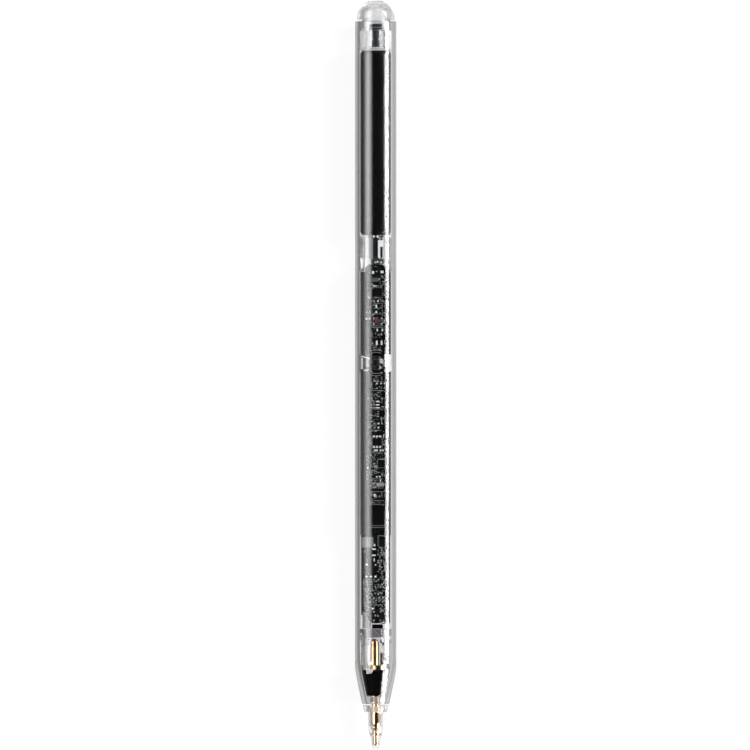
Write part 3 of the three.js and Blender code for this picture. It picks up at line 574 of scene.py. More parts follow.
def machined(node, edge, angle=30):
    """A copy of a CAD node's mesh, joined up, with its sharp edges rounded by so many millimetres."""
    work = bmesh.new()
    work.from_mesh(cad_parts[node].data)
    bmesh.ops.remove_doubles(work, verts=work.verts, dist=1e-6)
    flat_angle = math.radians(1)
    bmesh.ops.dissolve_limit(
        work, angle_limit=flat_angle, verts=work.verts, edges=work.edges, delimit=set()
    )
    inner = [one for one in work.edges if len(one.link_faces) == 2]
    sharp = [one for one in inner if one.calc_face_angle(0) > math.radians(angle)]
    if edge:
        bmesh.ops.bevel(
            work, geom=sharp, offset=edge * MM, offset_type="OFFSET", segments=2, profile=0.5,
            affect="EDGES", clamp_overlap=True, harden_normals=False,
        )
    bmesh.ops.triangulate(work, faces=[face for face in work.faces if len(face.verts) > 4])
    mesh = bpy.data.meshes.new(node + "_made")
    work.to_mesh(mesh)
    work.free()
    return mesh


def cad_piece(node, edge, material):
    """A piece in the CAD node's own shape with its edges rounded, on the barrel."""
    return fitted(machined(node, edge), material, "barrel", [node])


cad_piece("cell_front_ring", 0.05, holder_plastic)

strip_film = Finish("switch_strip_film")
strip_weave = strip_film.grain(0.4, 2.0, (0.1, 1.0, 1.0))
strip_track = abs(strip_film.across * 1000.0).wrapped(0.3).step(0.12, 0.16)
strip_material = strip_film.surface(
    Base_Color=strip_film.mixed(strip_track, colour(16, 16, 18), colour(30, 28, 27)),
    Roughness=0.35 + strip_weave * 0.1,
    Normal=strip_film.uneven(strip_track, 0.01),
)
cad_piece("switch_strip", 0.0, strip_material)


# Coupler. A clear trough that keeps the board's end and the cell in line, with the cell's
# black leads, a terminal block and a dark insulating plate with a strip of white tape inside.
def within(value, low, high, soft=0.06):
    """1 from low to high and 0 outside them."""
    return value.step(low, low + soft) * (1.0 - value.step(high - soft, high))


def pen_places(finish):
    """Across and station, in millimetres, as varying numbers."""
    return finish.across * (-1 / MM), finish.along * (1 / MM) + PEN_LENGTH / 2


def coupler_haze(finish):
    """The coupler is milky, and grey along its left wall."""
    u, s = pen_places(finish)
    wall = within(u, -3.4, -2.4, 0.2) * s.step(106.6, 107.0)
    right = u.step(2.1, 2.5) * 0.35
    return (wall * 0.8).larger(right).larger(0.12), (132, 132, 134)


coupler_plastic = clear_plastic("clear_coupler_moulding", 0.06, (coupler_haze,), index=1.3, marks=0.0008)
cad_piece("cell_coupler", 0.06, coupler_plastic)

rubber = grained("lead_rubber", (4, 4, 4), (14, 14, 15), 0.4, 0.1, 0.15, 0.01, shine=0.12)


def station_of(x):
    """The station of a place along the frame, in millimetres from the point."""
    return x / MM + PEN_LENGTH / 2


def ends(node):
    """The stations at which a CAD node starts and ends."""
    low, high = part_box(node)
    return station_of(low.x), station_of(high.x)


lead_start, lead_end = ends("positive_lead")
LEAD_OUTLINE = [
    (0.0, lead_start), (0.12, lead_start), (0.12, lead_start + 0.35),
    (0.24, lead_start + 0.45), (0.24, lead_end), (0.0, lead_end),
]
# the height of the leads' middle line above the pen's
LEAD_RISE = 0.24


def gathered(name, meshes):
    """Several meshes as one."""
    work = bmesh.new()
    for mesh in meshes:
        work.from_mesh(mesh)
    made = bpy.data.meshes.new(name)
    work.to_mesh(made)
    work.free()
    return made


def lead(name, node, breadths):
    """The rubber-coated wires of one lead, side by side, each thinner at its front end."""
    outline = eased(LEAD_OUTLINE, 0.05, closed=False)
    wires = [turned(name, outline, closed=False, centre=(u, LEAD_RISE), sides=24) for u in breadths]
    fitted(gathered(name, wires), rubber, "barrel", [node])


lead("positive_lead_wires", "positive_lead", (-0.21, 0.21))
lead("negative_lead_wire", "negative_lead", (1.25,))

plate_grey = grained("lead_plate_moulding", (34, 34, 36), (62, 62, 64), 0.5)
block_grey = grained("terminal_block_moulding", (104, 104, 106), (140, 140, 142), 0.5)
tape_white = grained("lead_tape", (238, 238, 238), (250, 250, 250), 0.6)
cad_piece("lead_plate", 0.06, plate_grey)
cad_piece("terminal_block", 0.08, block_grey)


def slab(name, outline, low, high, edge=0.03):
    """A flat piece of an outline in [across, station], between two heights, with rounded edges."""
    work = bmesh.new()
    base = work.faces.new([work.verts.new(at_mm(across, along, low)) for across, along in outline])
    raised = bmesh.ops.extrude_face_region(work, geom=[base])["geom"]
    tops = [one for one in raised if isinstance(one, bmesh.types.BMVert)]
    bmesh.ops.translate(work, vec=(0, 0, (high - low) * MM), verts=tops)
    bmesh.ops.bevel(work, geom=work.edges[:], offset=edge * MM, segments=2, profile=0.5, affect="EDGES")
    return as_mesh(work, name)


TAPE_OUTLINE = [(0.5, 107.0), (0.96, 107.0), (0.96, 109.4), (1.62, 109.4), (1.62, 110.8), (0.5, 110.8)]
fitted(slab("lead_tape", TAPE_OUTLINE, 0.52, 0.6), tape_white, "barrel")

# Board carrier. A long trough in satin dark plastic that holds the board by its edges,
# with the two magnets, the charging coil and its ferrite sheet under the board.
carrier_plastic = Finish("carrier_moulding")
carrier_grain = carrier_plastic.grain(0.1)
carrier_flow = carrier_plastic.grain(1.5, 2.0, (0.1, 1.0, 1.0))
carrier_material = carrier_plastic.surface(
    Base_Color=carrier_plastic.mixed(carrier_grain, colour(30, 30, 32), colour(44, 44, 46)),
    Roughness=0.42 + carrier_grain * 0.16,
    Specular_IOR_Level=0.15,
    Normal=carrier_plastic.uneven(carrier_grain * 0.3 + carrier_flow, 0.01),
)
cad_piece("board_carrier", 0.05, carrier_material)

nickel = grained(
    "nickel_plate", (168, 168, 172), (196, 196, 198), 0.28, 0.16, 0.2, 0.006, 3.0, (0.3, 1.0, 1.0), 0.9, 0.5
)
for magnet in ("rear_magnet", "front_magnet"):
    cad_piece(magnet, 0.1, nickel)
ferrite = grained("ferrite_sheet", (38, 38, 42), (62, 60, 62), 0.75, 0.0, 0.15, 0.02, 4.0, shine=0.5)
cad_piece("coil_ferrite", 0.05, ferrite)
copper = grained(
    "enamelled_copper_wire", (150, 78, 42), (186, 104, 60), 0.3, 0.1, 0.3, 0.0, metal=0.85, shine=0.5
)
coil_low, coil_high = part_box("charging_coil")
COIL_LAYERS = 3
COIL_TURNS = 6
COIL_CORNER = 1.5 * MM
# how much of its room each wire fills
WIRE_FILL = 0.97


def racetrack(half_long, half_wide, corner, steps=8):
    """The middle line of one turn of the coil, round a rectangle with rounded corners."""
    line = []
    for x_side, y_side, start in ((1, 1, 0), (-1, 1, 1), (-1, -1, 2), (1, -1, 3)):
        for step in range(steps + 1):
            turn = math.pi / 2 * (start + step / steps)
            x = x_side * (half_long - corner) + corner * math.cos(turn)
            y = y_side * (half_wide - corner) + corner * math.sin(turn)
            line.append(Vector((x, y)))
    return line


def wire_loop(work, line, height, thick, sides=6):
    """One closed turn of wire round a flat line."""
    rings = []
    count = len(line)
    for index, point in enumerate(line):
        ahead = (line[(index + 1) % count] - line[index - 1]).normalized()
        out = Vector((ahead.y, -ahead.x))
        ring = []
        for side in range(sides):
            turn = 2 * math.pi * side / sides
            place = point + out * (thick / 2 * math.cos(turn))
            ring.append(work.verts.new((place.x, place.y, height + thick / 2 * math.sin(turn))))
        rings.append(ring)
    for index in range(count):
        ring, after = rings[index], rings[(index + 1) % count]
        for side in range(sides):
            beside = (side + 1) % sides
            work.faces.new((ring[side], ring[beside], after[beside], after[side]))


coil_work = bmesh.new()
coil_middle = (coil_low + coil_high) / 2
coil_half = (coil_high - coil_low) / 2
coil_wire = 2 * coil_half.z / COIL_LAYERS
for coil_layer in range(COIL_LAYERS):
    for coil_turn in range(COIL_TURNS):
        inset = (coil_turn + 0.5) * coil_wire
        loop = racetrack(coil_half.x - inset, coil_half.y - inset, COIL_CORNER - inset * 0.98)
        loop = [point + coil_middle.xy for point in loop]
        wire_loop(coil_work, loop, coil_low.z + (coil_layer + 0.5) * coil_wire, coil_wire * WIRE_FILL)
coil_mesh = as_mesh(coil_work, "charging_coil_winding", 1e-9)
fitted(coil_mesh, copper, "barrel", ["charging_coil"], angle=80)

# Circuit board. A long black lacquered board in two widths, with tracks just visible
# under the lacquer, seated on the carrier's ledges.
board_lacquer = Finish("board_lacquer")
lane = abs(board_lacquer.across * 1000.0 + 0.15).wrapped(0.34).step(0.2, 0.24)
lane_cut = board_lacquer.grain(0.9, 0.0, (0.35, 1.6, 1.0)).step(0.5, 0.53)
rung = (board_lacquer.along * 1000.0 + 200.0).wrapped(0.52).step(0.36, 0.4)
rung_cut = board_lacquer.grain(1.0, 0.0, (1.6, 0.5, 1.0)).step(0.56, 0.58)
tracks = (lane * lane_cut).larger(rung * rung_cut)
lacquer_grain = board_lacquer.grain(0.06)
bare_lacquer = board_lacquer.mixed(lacquer_grain, colour(5, 6, 6), colour(11, 12, 12))
board_material = board_lacquer.surface(
    Base_Color=board_lacquer.mixed(tracks * 0.6, bare_lacquer, colour(46, 50, 48)),
    Roughness=0.2 + lacquer_grain * 0.1,
    Specular_IOR_Level=0.05,
    Normal=board_lacquer.uneven(tracks, 0.02),
)
cad_piece("main_board", 0.04, board_material)


# Chips. Moulded black or grey packages, one metal-cased crystal, one flat screening can
# and one red indicator light, all soldered to the board.
def chip_finish(name, dark, light, rough, metal=0.0, shine=0.15):
    """Moulded resin, paint or metal with a very fine grain."""
    return grained(name, dark, light, rough, size=0.07, depth=0.006, metal=metal, shine=shine)


BOARD_TOP = 0.3
chip_black = chip_finish("chip_black_resin", (8, 8, 9), (16, 16, 17), 0.3, 0.0, 0.05)
chip_grey = chip_finish("chip_grey_resin", (70, 72, 76), (92, 94, 98), 0.38)
chip_pale = chip_finish("chip_pale_resin", (112, 114, 118), (140, 142, 145), 0.38)
can_black = chip_finish("screening_can_paint", (5, 5, 6), (10, 10, 11), 0.25, 0.0, 0.05)
crystal_case = chip_finish("crystal_case_metal", (150, 150, 154), (186, 186, 190), 0.26, 0.8)
lens_finish = Finish("indicator_lens")
lens_mottle = lens_finish.grain(0.4, 2.0)
red_lens = lens_finish.surface(
    Base_Color=lens_finish.mixed(lens_mottle.step(0.4, 0.6), colour(20, 16, 18), colour(112, 72, 80)),
    Roughness=0.3,
    Specular_IOR_Level=0.2,
    Normal=lens_finish.uneven(lens_mottle, 0.01),
)
for chip, edge, finish, chip_slot in (
    ("charge_chip", 0.05, chip_grey, "chip_grey"),
    ("power_chip", 0.05, chip_black, "chip_black"),
    ("regulator_chip", 0.05, chip_black, "chip_black"),
    ("signal_chip", 0.05, chip_black, "chip_black"),
    ("processor_chip", 0.05, chip_black, "chip_black"),
    ("memory_chip", 0.05, chip_pale, "chip_grey"),
    ("screening_can", 0.05, can_black, "chip_black"),
    ("crystal", 0.08, crystal_case, "nickel_plate"),
    ("indicator_light", 0.1, red_lens, "indicator_red"),
):
    cad_piece(chip, edge, finish)


# Small parts on the board. Tin dots, flat pads, ring pads, pins, chip capacitors and thin grey
# printed marks, set out from tables of [across, station] and soldered or printed on the lacquer.
class Growth(Wiring):
    """A Geometry Nodes tree with named inputs for its sizes."""

    def __init__(self, name, inputs):
        super().__init__(bpy.data.node_groups.new(name, "GeometryNodeTree"))
        self.tree.interface.new_socket("Places", in_out="INPUT", socket_type="NodeSocketGeometry")
        self.tree.interface.new_socket("Made", in_out="OUTPUT", socket_type="NodeSocketGeometry")
        self.sockets = {}
        for label, (kind, value) in inputs.items():
            socket = self.tree.interface.new_socket(label, in_out="INPUT", socket_type=kind)
            if value is not None:
                socket.default_value = value
            self.sockets[label] = socket.identifier
        self.given = self.node("NodeGroupInput").outputs
        self.result = self.node("NodeGroupOutput")

    def close(self, geometry):
        self.tree.links.new(geometry, self.result.inputs[0])

    def block(self, size):
        return self.node("GeometryNodeMeshCube", None, {"Size": size}).outputs[0]

    def circle(self, sides, radius):
        sockets = {"Resolution": sides, "Radius": radius}
        return self.node("GeometryNodeCurvePrimitiveCircle", None, sockets).outputs[0]

    def swept(self, line, profile, caps=False):
        """A tube of a profile along a line."""
        sockets = {"Curve": line, "Profile Curve": profile, "Fill Caps": caps}
        return self.node("GeometryNodeCurveToMesh", None, sockets).outputs[0]

    def dressed(self, geometry, label):
        """The geometry in the material that is given under a label."""
        sockets = {"Geometry": geometry, "Material": self.given[label]}
        return self.node("GeometryNodeSetMaterial", None, sockets).outputs[0]

    def run(self, mesh, values):
        """The plain mesh that the tree makes from a mesh of places."""
        holder = bpy.data.objects.new(mesh.name + "_places", mesh)
        bpy.context.scene.collection.objects.link(holder)
        modifier = holder.modifiers.new("grow", "NODES")
        modifier.node_group = self.tree
        for label, value in values.items():
            modifier[self.sockets[label]] = value
        bpy.context.view_layer.update()
        seen_now = holder.evaluated_get(bpy.context.evaluated_depsgraph_get())
        made = bpy.data.meshes.new_from_object(seen_now)
        bpy.data.objects.remove(holder)
        return made


def places(name, rows):
    """Points on the pen from rows of (across, station, height, long, wide, high, turn)."""
    mesh = bpy.data.meshes.new(name)
    mesh.from_pydata([at_mm(row[0], row[1], row[2]) for row in rows], [], [])
    sizes = mesh.attributes.new("fit_size", "FLOAT_VECTOR", "POINT")
    sizes.data.foreach_set("vector", [part * MM for row in rows for part in row[3:6]])
    turns = mesh.attributes.new("fit_turn", "FLOAT", "POINT")
    turns.data.foreach_set("value", [math.radians(row[6]) for row in rows])
    return mesh


def set_out(growth, instance, label=None):
    """Sets a shape of unit size at every place, turned and scaled as the place says."""
    size = growth.node("GeometryNodeInputNamedAttribute", {"data_type": "FLOAT_VECTOR"}, {0: "fit_size"})
    turn = growth.node("GeometryNodeInputNamedAttribute", {"data_type": "FLOAT"}, {0: "fit_turn"})
    spin = growth.node("ShaderNodeCombineXYZ", None, {2: turn.outputs[0]})
    sockets = {"Points": growth.given["Places"], "Instance": instance}
    sockets.update({"Rotation": spin.outputs[0], "Scale": size.outputs[0]})
    placed = growth.node("GeometryNodeInstanceOnPoints", None, sockets)
    real = growth.node("GeometryNodeRealizeInstances", None, {0: placed.outputs[0]}).outputs[0]
    growth.close(growth.dressed(real, label) if label else real)


NUMBER = "NodeSocketFloat"
MATERIAL = ("NodeSocketMaterial", None)
dot_growth = Growth("tin_dots", {"Sides": ("NodeSocketInt", 12), "Tin": MATERIAL})
dot_sockets = {"Segments": dot_growth.given["Sides"], "Rings": 6, "Radius": 0.5}
set_out(dot_growth, dot_growth.node("GeometryNodeMeshUVSphere", None, dot_sockets).outputs[0], "Tin")

ring_growth = Growth("ring_pads", {"Band": (NUMBER, 0.1), "Tin": MATERIAL})
ring_tube = ring_growth.swept(ring_growth.circle(20, 0.42), ring_growth.circle(6, ring_growth.given["Band"]))
set_out(ring_growth, ring_tube, "Tin")

bar_growth = Growth("flat_marks", {"Ink": MATERIAL})
set_out(bar_growth, bar_growth.block((1.0, 1.0, 1.0)), "Ink")

capacitor_growth = Growth(
    "chip_capacitors",
    {"Cap length": (NUMBER, 0.24), "Cap proud": (NUMBER, 1.08), "Body": MATERIAL, "Tin": MATERIAL},
)
# a capacitor's body and the place of its end caps, as shares of its whole size
BODY_SHARE = 0.9
CAP_PLACE = 0.4
capacitor_body = capacitor_growth.block((BODY_SHARE, BODY_SHARE, BODY_SHARE))
capacitor_parts = [capacitor_growth.dressed(capacitor_body, "Body")]
cap_sizes = {0: capacitor_growth.given["Cap length"], 1: capacitor_growth.given["Cap proud"], 2: 1.0}
for end in (-1, 1):
    cap_size = capacitor_growth.node("ShaderNodeCombineXYZ", None, cap_sizes).outputs[0]
    cap_sockets = {"Geometry": capacitor_growth.block(cap_size), "Translation": (CAP_PLACE * end, 0, 0)}
    cap_moved = capacitor_growth.node("GeometryNodeTransform", None, cap_sockets).outputs[0]
    capacitor_parts.append(capacitor_growth.dressed(cap_moved, "Tin"))
capacitor_join = capacitor_growth.node("GeometryNodeJoinGeometry")
for part in capacitor_parts:
    capacitor_growth.tree.links.new(part, capacitor_join.inputs[0])
set_out(capacitor_growth, capacitor_join.outputs[0])

tin = grained("solder_tin", (226, 226, 228), (248, 248, 248), 0.3, 0.15, 0.05, 0.01, metal=0.25, shine=0.5)
dull_finish = Finish("dull_solder_tin")
dull_grain = dull_finish.grain(0.5, 1.0)
dull_tin = dull_finish.surface(
    Base_Color=dull_finish.mixed(dull_grain.step(0.35, 0.65), colour(60, 62, 62), colour(176, 178, 176)),
    Metallic=0.25,
    Roughness=0.4 + dull_grain * 0.15,
    Normal=dull_finish.uneven(dull_finish.grain(0.05), 0.01),
)
ink = grained("printed_mark_ink", (92, 96, 95), (150, 153, 151), 0.7, 0.0, 0.05, 0.004, shine=0.5)
ceramic = grained("capacitor_ceramic", (38, 34, 30), (62, 56, 50), 0.5, 0.1, 0.08, 0.0, shine=0.5)

# [across, station, breadth] of each bright tin dot
TIN_DOTS = (
    (0.7, 102.3, 0.36), (0.5, 97.55, 0.42), (0.15, 95.15, 0.45), (-2.0, 93.7, 0.5), (-1.35, 93.7, 0.4),
    (-0.38, 93.75, 0.3), (1.3, 93.75, 0.3), (-0.38, 92.6, 0.3), (1.28, 92.6, 0.32), (0.3, 79.6, 0.38),
    (1.2, 79.6, 0.4), (1.95, 79.6, 0.34), (0.65, 70.85, 0.38), (1.4, 70.85, 0.3), (0.62, 70.0, 0.42),
    (0.25, 59.25, 0.38), (0.95, 59.25, 0.38), (-1.75, 61.2, 0.38), (-0.05, 40.05, 0.34),
    (-1.95, 40.1, 0.52), (-2.0, 37.5, 0.46), (-1.0, 37.5, 0.46), (-0.05, 37.5, 0.4), (-0.65, 30.5, 0.46),
    (1.78, 36.1, 0.24),
)
# and of each dull one
DULL_DOTS = (
    (-1.15, 103.8, 0.4), (0.2, 104.0, 0.3), (1.5, 102.7, 0.4), (1.6, 101.8, 0.4), (2.0, 100.6, 0.3),
    (2.0, 99.9, 0.3), (2.05, 99.3, 0.3), (-1.4, 98.3, 0.55), (-0.7, 88.4, 0.4), (0.3, 78.55, 0.3),
    (1.2, 78.55, 0.3), (1.9, 78.55, 0.3), (1.35, 76.3, 0.5), (-0.4, 75.6, 0.3), (-0.4, 74.9, 0.3),
    (-0.4, 74.3, 0.3), (-0.3, 70.85, 0.3), (-0.2, 70.0, 0.35), (-1.75, 63.6, 0.5), (-1.7, 62.7, 0.3),
    (-1.7, 62.0, 0.3), (-1.75, 60.4, 0.35), (-1.8, 59.6, 0.3), (-1.8, 58.8, 0.3), (0.6, 36.8, 0.35),
    (-2.05, 36.4, 0.42), (-1.1, 36.35, 0.42), (-0.1, 35.7, 0.3), (-0.1, 35.25, 0.3), (0.62, 35.75, 0.35),
    (1.4, 35.75, 0.35), (-0.1, 33.8, 0.4), (0.55, 33.75, 0.4), (1.2, 33.8, 0.4), (1.1, 30.5, 0.4),
    (-1.1, 29.85, 0.35), (-0.4, 29.8, 0.4), (1.1, 29.85, 0.35), (1.7, 29.9, 0.3), (-0.4, 27.95, 0.4),
    (1.05, 27.9, 0.42), (1.8, 27.9, 0.35), (1.0, 40.2, 0.35), (1.3, 39.5, 0.3), (-1.8, 41.2, 0.4),
    (-2.5, 42.9, 0.5), (0.5, 43.2, 0.35), (1.3, 43.1, 0.35), (0.55, 42.3, 0.4), (1.4, 42.3, 0.4),
    (-2.8, 81.9, 0.4), (1.35, 81.9, 0.4),
)


def joints(name, rows, tin_kind, sides=10):
    """Low round joints of solder, from rows of places."""
    mesh = dot_growth.run(places(name, rows), {"Sides": sides, "Tin": tin_kind})
    fitted(mesh, tin_kind, "barrel", angle=80)


def bars(name, rows, material):
    """Flat blocks or printed strokes, from rows of places."""
    fitted(bar_growth.run(places(name, rows), {"Ink": material}), material, "barrel")


def dot_rows(table, height, share):
    """Rows for round joints, whose height is a share of their breadth."""
    return [(u, s, height, size, size, size * share, 0) for u, s, size in table]


joints("board_tin_dots", dot_rows(TIN_DOTS, BOARD_TOP, 0.55), tin)
joints("board_dull_dots", dot_rows(DULL_DOTS, BOARD_TOP, 0.55), dull_tin)
# and of each tinned joint on the plate that takes the leads
LEAD_DOTS = ((-0.05, 106.0, 0.3), (0.42, 106.1, 0.4), (1.2, 106.0, 0.34))


def heights(node):
    """The heights at which a CAD node starts and ends, above the pen's middle line."""
    low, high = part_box(node)
    return low.z / MM - AXIS_HEIGHT, high.z / MM - AXIS_HEIGHT


plate_top = heights("lead_plate")[1]
joints("lead_plate_dots", dot_rows(LEAD_DOTS, plate_top, 0.5), tin)

# [across, station, along, across it] of each bright flat pad or bar
TIN_PADS = (
    (-0.55, 103.8, 0.6, 0.4), (1.4, 103.9, 0.55, 0.6), (-0.2, 100.85, 0.2, 0.9), (0.15, 96.4, 0.7, 0.32),
    (0.25, 88.45, 0.95, 0.38), (1.3, 88.45, 0.95, 0.38), (0.35, 91.25, 0.55, 0.3),
    (1.45, 91.25, 0.55, 0.3), (0.45, 75.65, 0.22, 0.75), (0.45, 74.95, 0.22, 0.75),
    (0.45, 74.3, 0.22, 0.75), (-0.35, 68.05, 0.36, 0.36), (0.3, 68.05, 0.36, 0.36),
    (0.95, 68.05, 0.36, 0.36), (-0.35, 65.8, 0.36, 0.36), (0.3, 65.8, 0.36, 0.36),
    (0.95, 65.8, 0.36, 0.36), (1.75, 68.1, 0.9, 0.14), (-0.15, 65.0, 0.4, 0.3), (0.3, 65.0, 0.4, 0.3),
    (1.05, 65.0, 0.4, 0.3), (1.6, 65.0, 0.4, 0.3), (1.05, 58.45, 0.6, 0.22), (-0.2, 55.2, 0.65, 0.34),
    (-0.25, 44.35, 0.5, 0.32), (-0.38, 43.48, 0.3, 0.8), (-0.4, 42.15, 0.26, 0.8),
    (-0.3, 41.15, 0.7, 0.2),
)
DULL_PADS = (
    (0.45, 72.95, 0.2, 0.6), (0.45, 72.4, 0.2, 0.6), (0.45, 71.7, 0.2, 0.6), (0.0, 61.5, 0.6, 0.6),
    (-0.3, 57.4, 1.2, 0.9), (0.1, 54.9, 0.5, 0.4), (0.9, 41.05, 0.2, 0.9), (1.2, 43.8, 0.2, 0.9),
)
PAD_THICK = 0.06
for name, table, tin_kind in (("board_tin_pads", TIN_PADS, tin), ("board_dull_pads", DULL_PADS, dull_tin)):
    pad_height = BOARD_TOP + PAD_THICK / 2
    bars(name, [(u, s, pad_height, long, wide, PAD_THICK, 0) for u, s, long, wide in table], tin_kind)

# [across, station, along, across it] of each ring pad
RING_PADS = (
    (0.0, 98.3, 0.45, 0.5), (-0.6, 97.55, 0.5, 0.5), (1.35, 97.55, 0.5, 0.5), (1.35, 96.4, 0.5, 0.5),
    (-0.35, 32.3, 1.4, 0.55), (0.78, 32.5, 1.1, 0.5), (1.62, 32.5, 1.2, 0.5), (1.6, 102.8, 0.5, 0.5),
    (0.0, 60.2, 0.7, 0.7), (1.6, 59.85, 0.7, 0.7),
)
ring_rows = [(u, s, BOARD_TOP + 0.02, long, wide, 0.5, 0) for u, s, long, wide in RING_PADS]
ring_mesh = ring_growth.run(places("board_ring_pads", ring_rows), {"Band": 0.1, "Tin": dull_tin})
fitted(ring_mesh, dull_tin, "barrel", angle=80)

# Fine dull dots, pads and short tracks on a close grid, wherever no chip stands: [across from, to, station
# from, to, share of the grid that is filled]
FINE_FIELDS = (
    (-1.3, 2.1, 91.4, 103.4, 0.5), (-1.0, 1.8, 86.9, 91.0, 0.25), (-1.0, 1.9, 69.0, 81.6, 0.45),
    (-1.2, 1.9, 56.6, 68.4, 0.5), (-1.0, 1.9, 53.4, 56.4, 0.3), (-2.7, -0.6, 31.0, 36.8, 0.85),
    (0.3, 2.1, 39.5, 44.0, 0.6), (-0.5, 2.1, 30.0, 39.0, 0.4), (-2.6, -0.6, 28.0, 31.0, 0.4),
)
FINE_PITCH = 0.42
FINE_STRAY = 0.06
FINE_THICK = 0.04
KEEP_CLEAR = 0.12
# the share of them that are dots, and the share that are dots or lie across the pen
DOT_SHARE = 0.45
ACROSS_SHARE = 0.75
fine_draw = random.Random(7)
fine_keepouts = (
    "charge_chip", "power_chip", "indicator_light", "regulator_chip", "signal_chip", "crystal",
    "screening_can", "processor_chip", "memory_chip", "retainer_collar",
)
chip_boxes = [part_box(chip) for chip in fine_keepouts]


def clear_of_chips(u, s):
    """Whether no chip, nor the collar, stands over a place on the board."""
    spot = at_mm(u, s, 0)
    gap = KEEP_CLEAR * MM
    for low, high in chip_boxes:
        if low.x - gap < spot.x < high.x + gap and low.y - gap < spot.y < high.y + gap:
            return False
    return True


fine_dots, fine_pads = [], []
fine_height = BOARD_TOP + FINE_THICK / 2
for u_low, u_high, s_low, s_high, share in FINE_FIELDS:
    for row in range(int((s_high - s_low) / FINE_PITCH)):
        for column in range(int((u_high - u_low) / FINE_PITCH)):
            u = u_low + (column + 0.5) * FINE_PITCH + fine_draw.uniform(-FINE_STRAY, FINE_STRAY)
            s = s_low + (row + 0.5) * FINE_PITCH + fine_draw.uniform(-FINE_STRAY, FINE_STRAY)
            drawn, kind, breadth = fine_draw.random(), fine_draw.random(), fine_draw.uniform(0.14, 0.26)
            if drawn > share or not clear_of_chips(u, s):
                continue
            if kind < DOT_SHARE:
                fine_dots.append((u, s, BOARD_TOP, breadth, breadth, 0.1, 0))
            elif kind < ACROSS_SHARE:
                fine_pads.append((u, s, fine_height, breadth, breadth * 1.6, FINE_THICK, 0))
            else:
                fine_pads.append((u, s, fine_height, breadth * 1.7, breadth * 0.7, FINE_THICK, 0))
joints("board_fine_dots", fine_dots, dull_tin, 8)
bars("board_fine_pads", fine_pads, dull_tin)

# Rows of tinned pins beside the chips: [across, first station, last station, pins]
PIN_ROWS = (
    (1.55, 98.75, 100.05, 4), (-0.95, 98.75, 100.05, 4), (2.08, 61.4, 62.6, 4), (0.34, 61.4, 62.6, 4),
    (0.58, 44.3, 46.0, 5), (-0.46, 44.9, 45.9, 3), (1.45, 66.35, 67.35, 3), (-0.85, 66.35, 67.35, 3),
)
PIN_THICK = 0.08
pin_rows = []
for u, first, last, pins in PIN_ROWS:
    for pin in range(pins):
        s = first + (last - first) * pin / (pins - 1)
        pin_rows.append((u, s, BOARD_TOP + PIN_THICK / 2, 0.14, 0.26, PIN_THICK, 0))
bars("board_chip_pins", pin_rows, dull_tin)

# [across, station, long, wide, turn] of each chip capacitor or resistor
CAPACITORS = (
    (-1.5, 98.9, 0.8, 0.45, 0), (-1.6, 95.2, 0.8, 0.45, 90), (0.9, 90.3, 0.9, 0.45, 90),
    (-0.9, 90.2, 0.8, 0.4, 0), (0.9, 87.2, 0.7, 0.4, 0), (-0.3, 87.2, 0.7, 0.4, 0),
    (-0.9, 79.1, 0.8, 0.4, 0), (-1.2, 76.3, 0.9, 0.45, 90), (0.0, 77.1, 0.8, 0.4, 90),
    (-0.9, 74.6, 0.8, 0.45, 0), (1.5, 74.2, 0.8, 0.4, 0), (-0.9, 72.4, 0.8, 0.4, 0),
    (1.5, 72.0, 0.8, 0.45, 90), (-1.2, 70.4, 0.8, 0.4, 0), (-1.3, 66.9, 0.9, 0.45, 0),
    (1.8, 66.6, 0.8, 0.4, 0), (-0.4, 63.2, 0.8, 0.45, 0), (-0.4, 61.8, 0.8, 0.45, 0),
    (-1.0, 60.2, 0.7, 0.4, 90), (0.0, 57.5, 0.8, 0.45, 90), (-0.9, 55.6, 0.8, 0.45, 0),
    (1.1, 55.0, 0.8, 0.4, 90), (-1.1, 53.7, 0.7, 0.4, 90), (1.2, 42.4, 0.8, 0.45, 0),
    (2.2, 42.2, 0.8, 0.45, 0), (0.9, 41.0, 0.8, 0.4, 90), (2.1, 40.6, 0.7, 0.4, 90),
    (0.9, 39.4, 0.8, 0.4, 0), (2.0, 38.8, 0.8, 0.4, 90), (1.6, 37.2, 0.7, 0.4, 0),
    (2.3, 36.4, 0.7, 0.4, 90), (1.3, 35.2, 0.8, 0.4, 90), (-1.9, 34.6, 0.9, 0.45, 90),
    (-0.9, 34.4, 0.8, 0.4, 90), (-1.9, 32.8, 0.8, 0.45, 0), (-1.2, 31.8, 0.7, 0.4, 90),
    (2.3, 34.0, 0.7, 0.4, 0), (0.2, 29.0, 0.8, 0.4, 90), (-2.2, 30.8, 0.7, 0.4, 0),
    (2.3, 31.6, 0.7, 0.4, 0),
)
capacitor_rows = [(u, s, BOARD_TOP + 0.2, long, wide, 0.4, turn) for u, s, long, wide, turn in CAPACITORS]
capacitor_mesh = capacitor_growth.run(
    places("board_capacitors", capacitor_rows),
    {"Cap length": 0.24, "Cap proud": 1.04, "Body": ceramic, "Tin": dull_tin},
)
capacitors = bpy.data.objects.new("board_capacitors", smoothed(capacitor_mesh))
bpy.context.scene.collection.objects.link(capacitors)
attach(capacitors, "barrel")

# Printed marks: frames round groups of parts, cross lines and one row of dashes
INK_THICK = 0.02
INK_BROAD = 0.1


def printed_frame(u, s, long, wide):
    """Four strokes round a rectangle."""
    half_long, half_wide = long / 2, wide / 2
    return [
        (u, s - half_long, INK_BROAD, wide),
        (u, s + half_long, INK_BROAD, wide),
        (u - half_wide, s, long, INK_BROAD),
        (u + half_wide, s, long, INK_BROAD),
    ]


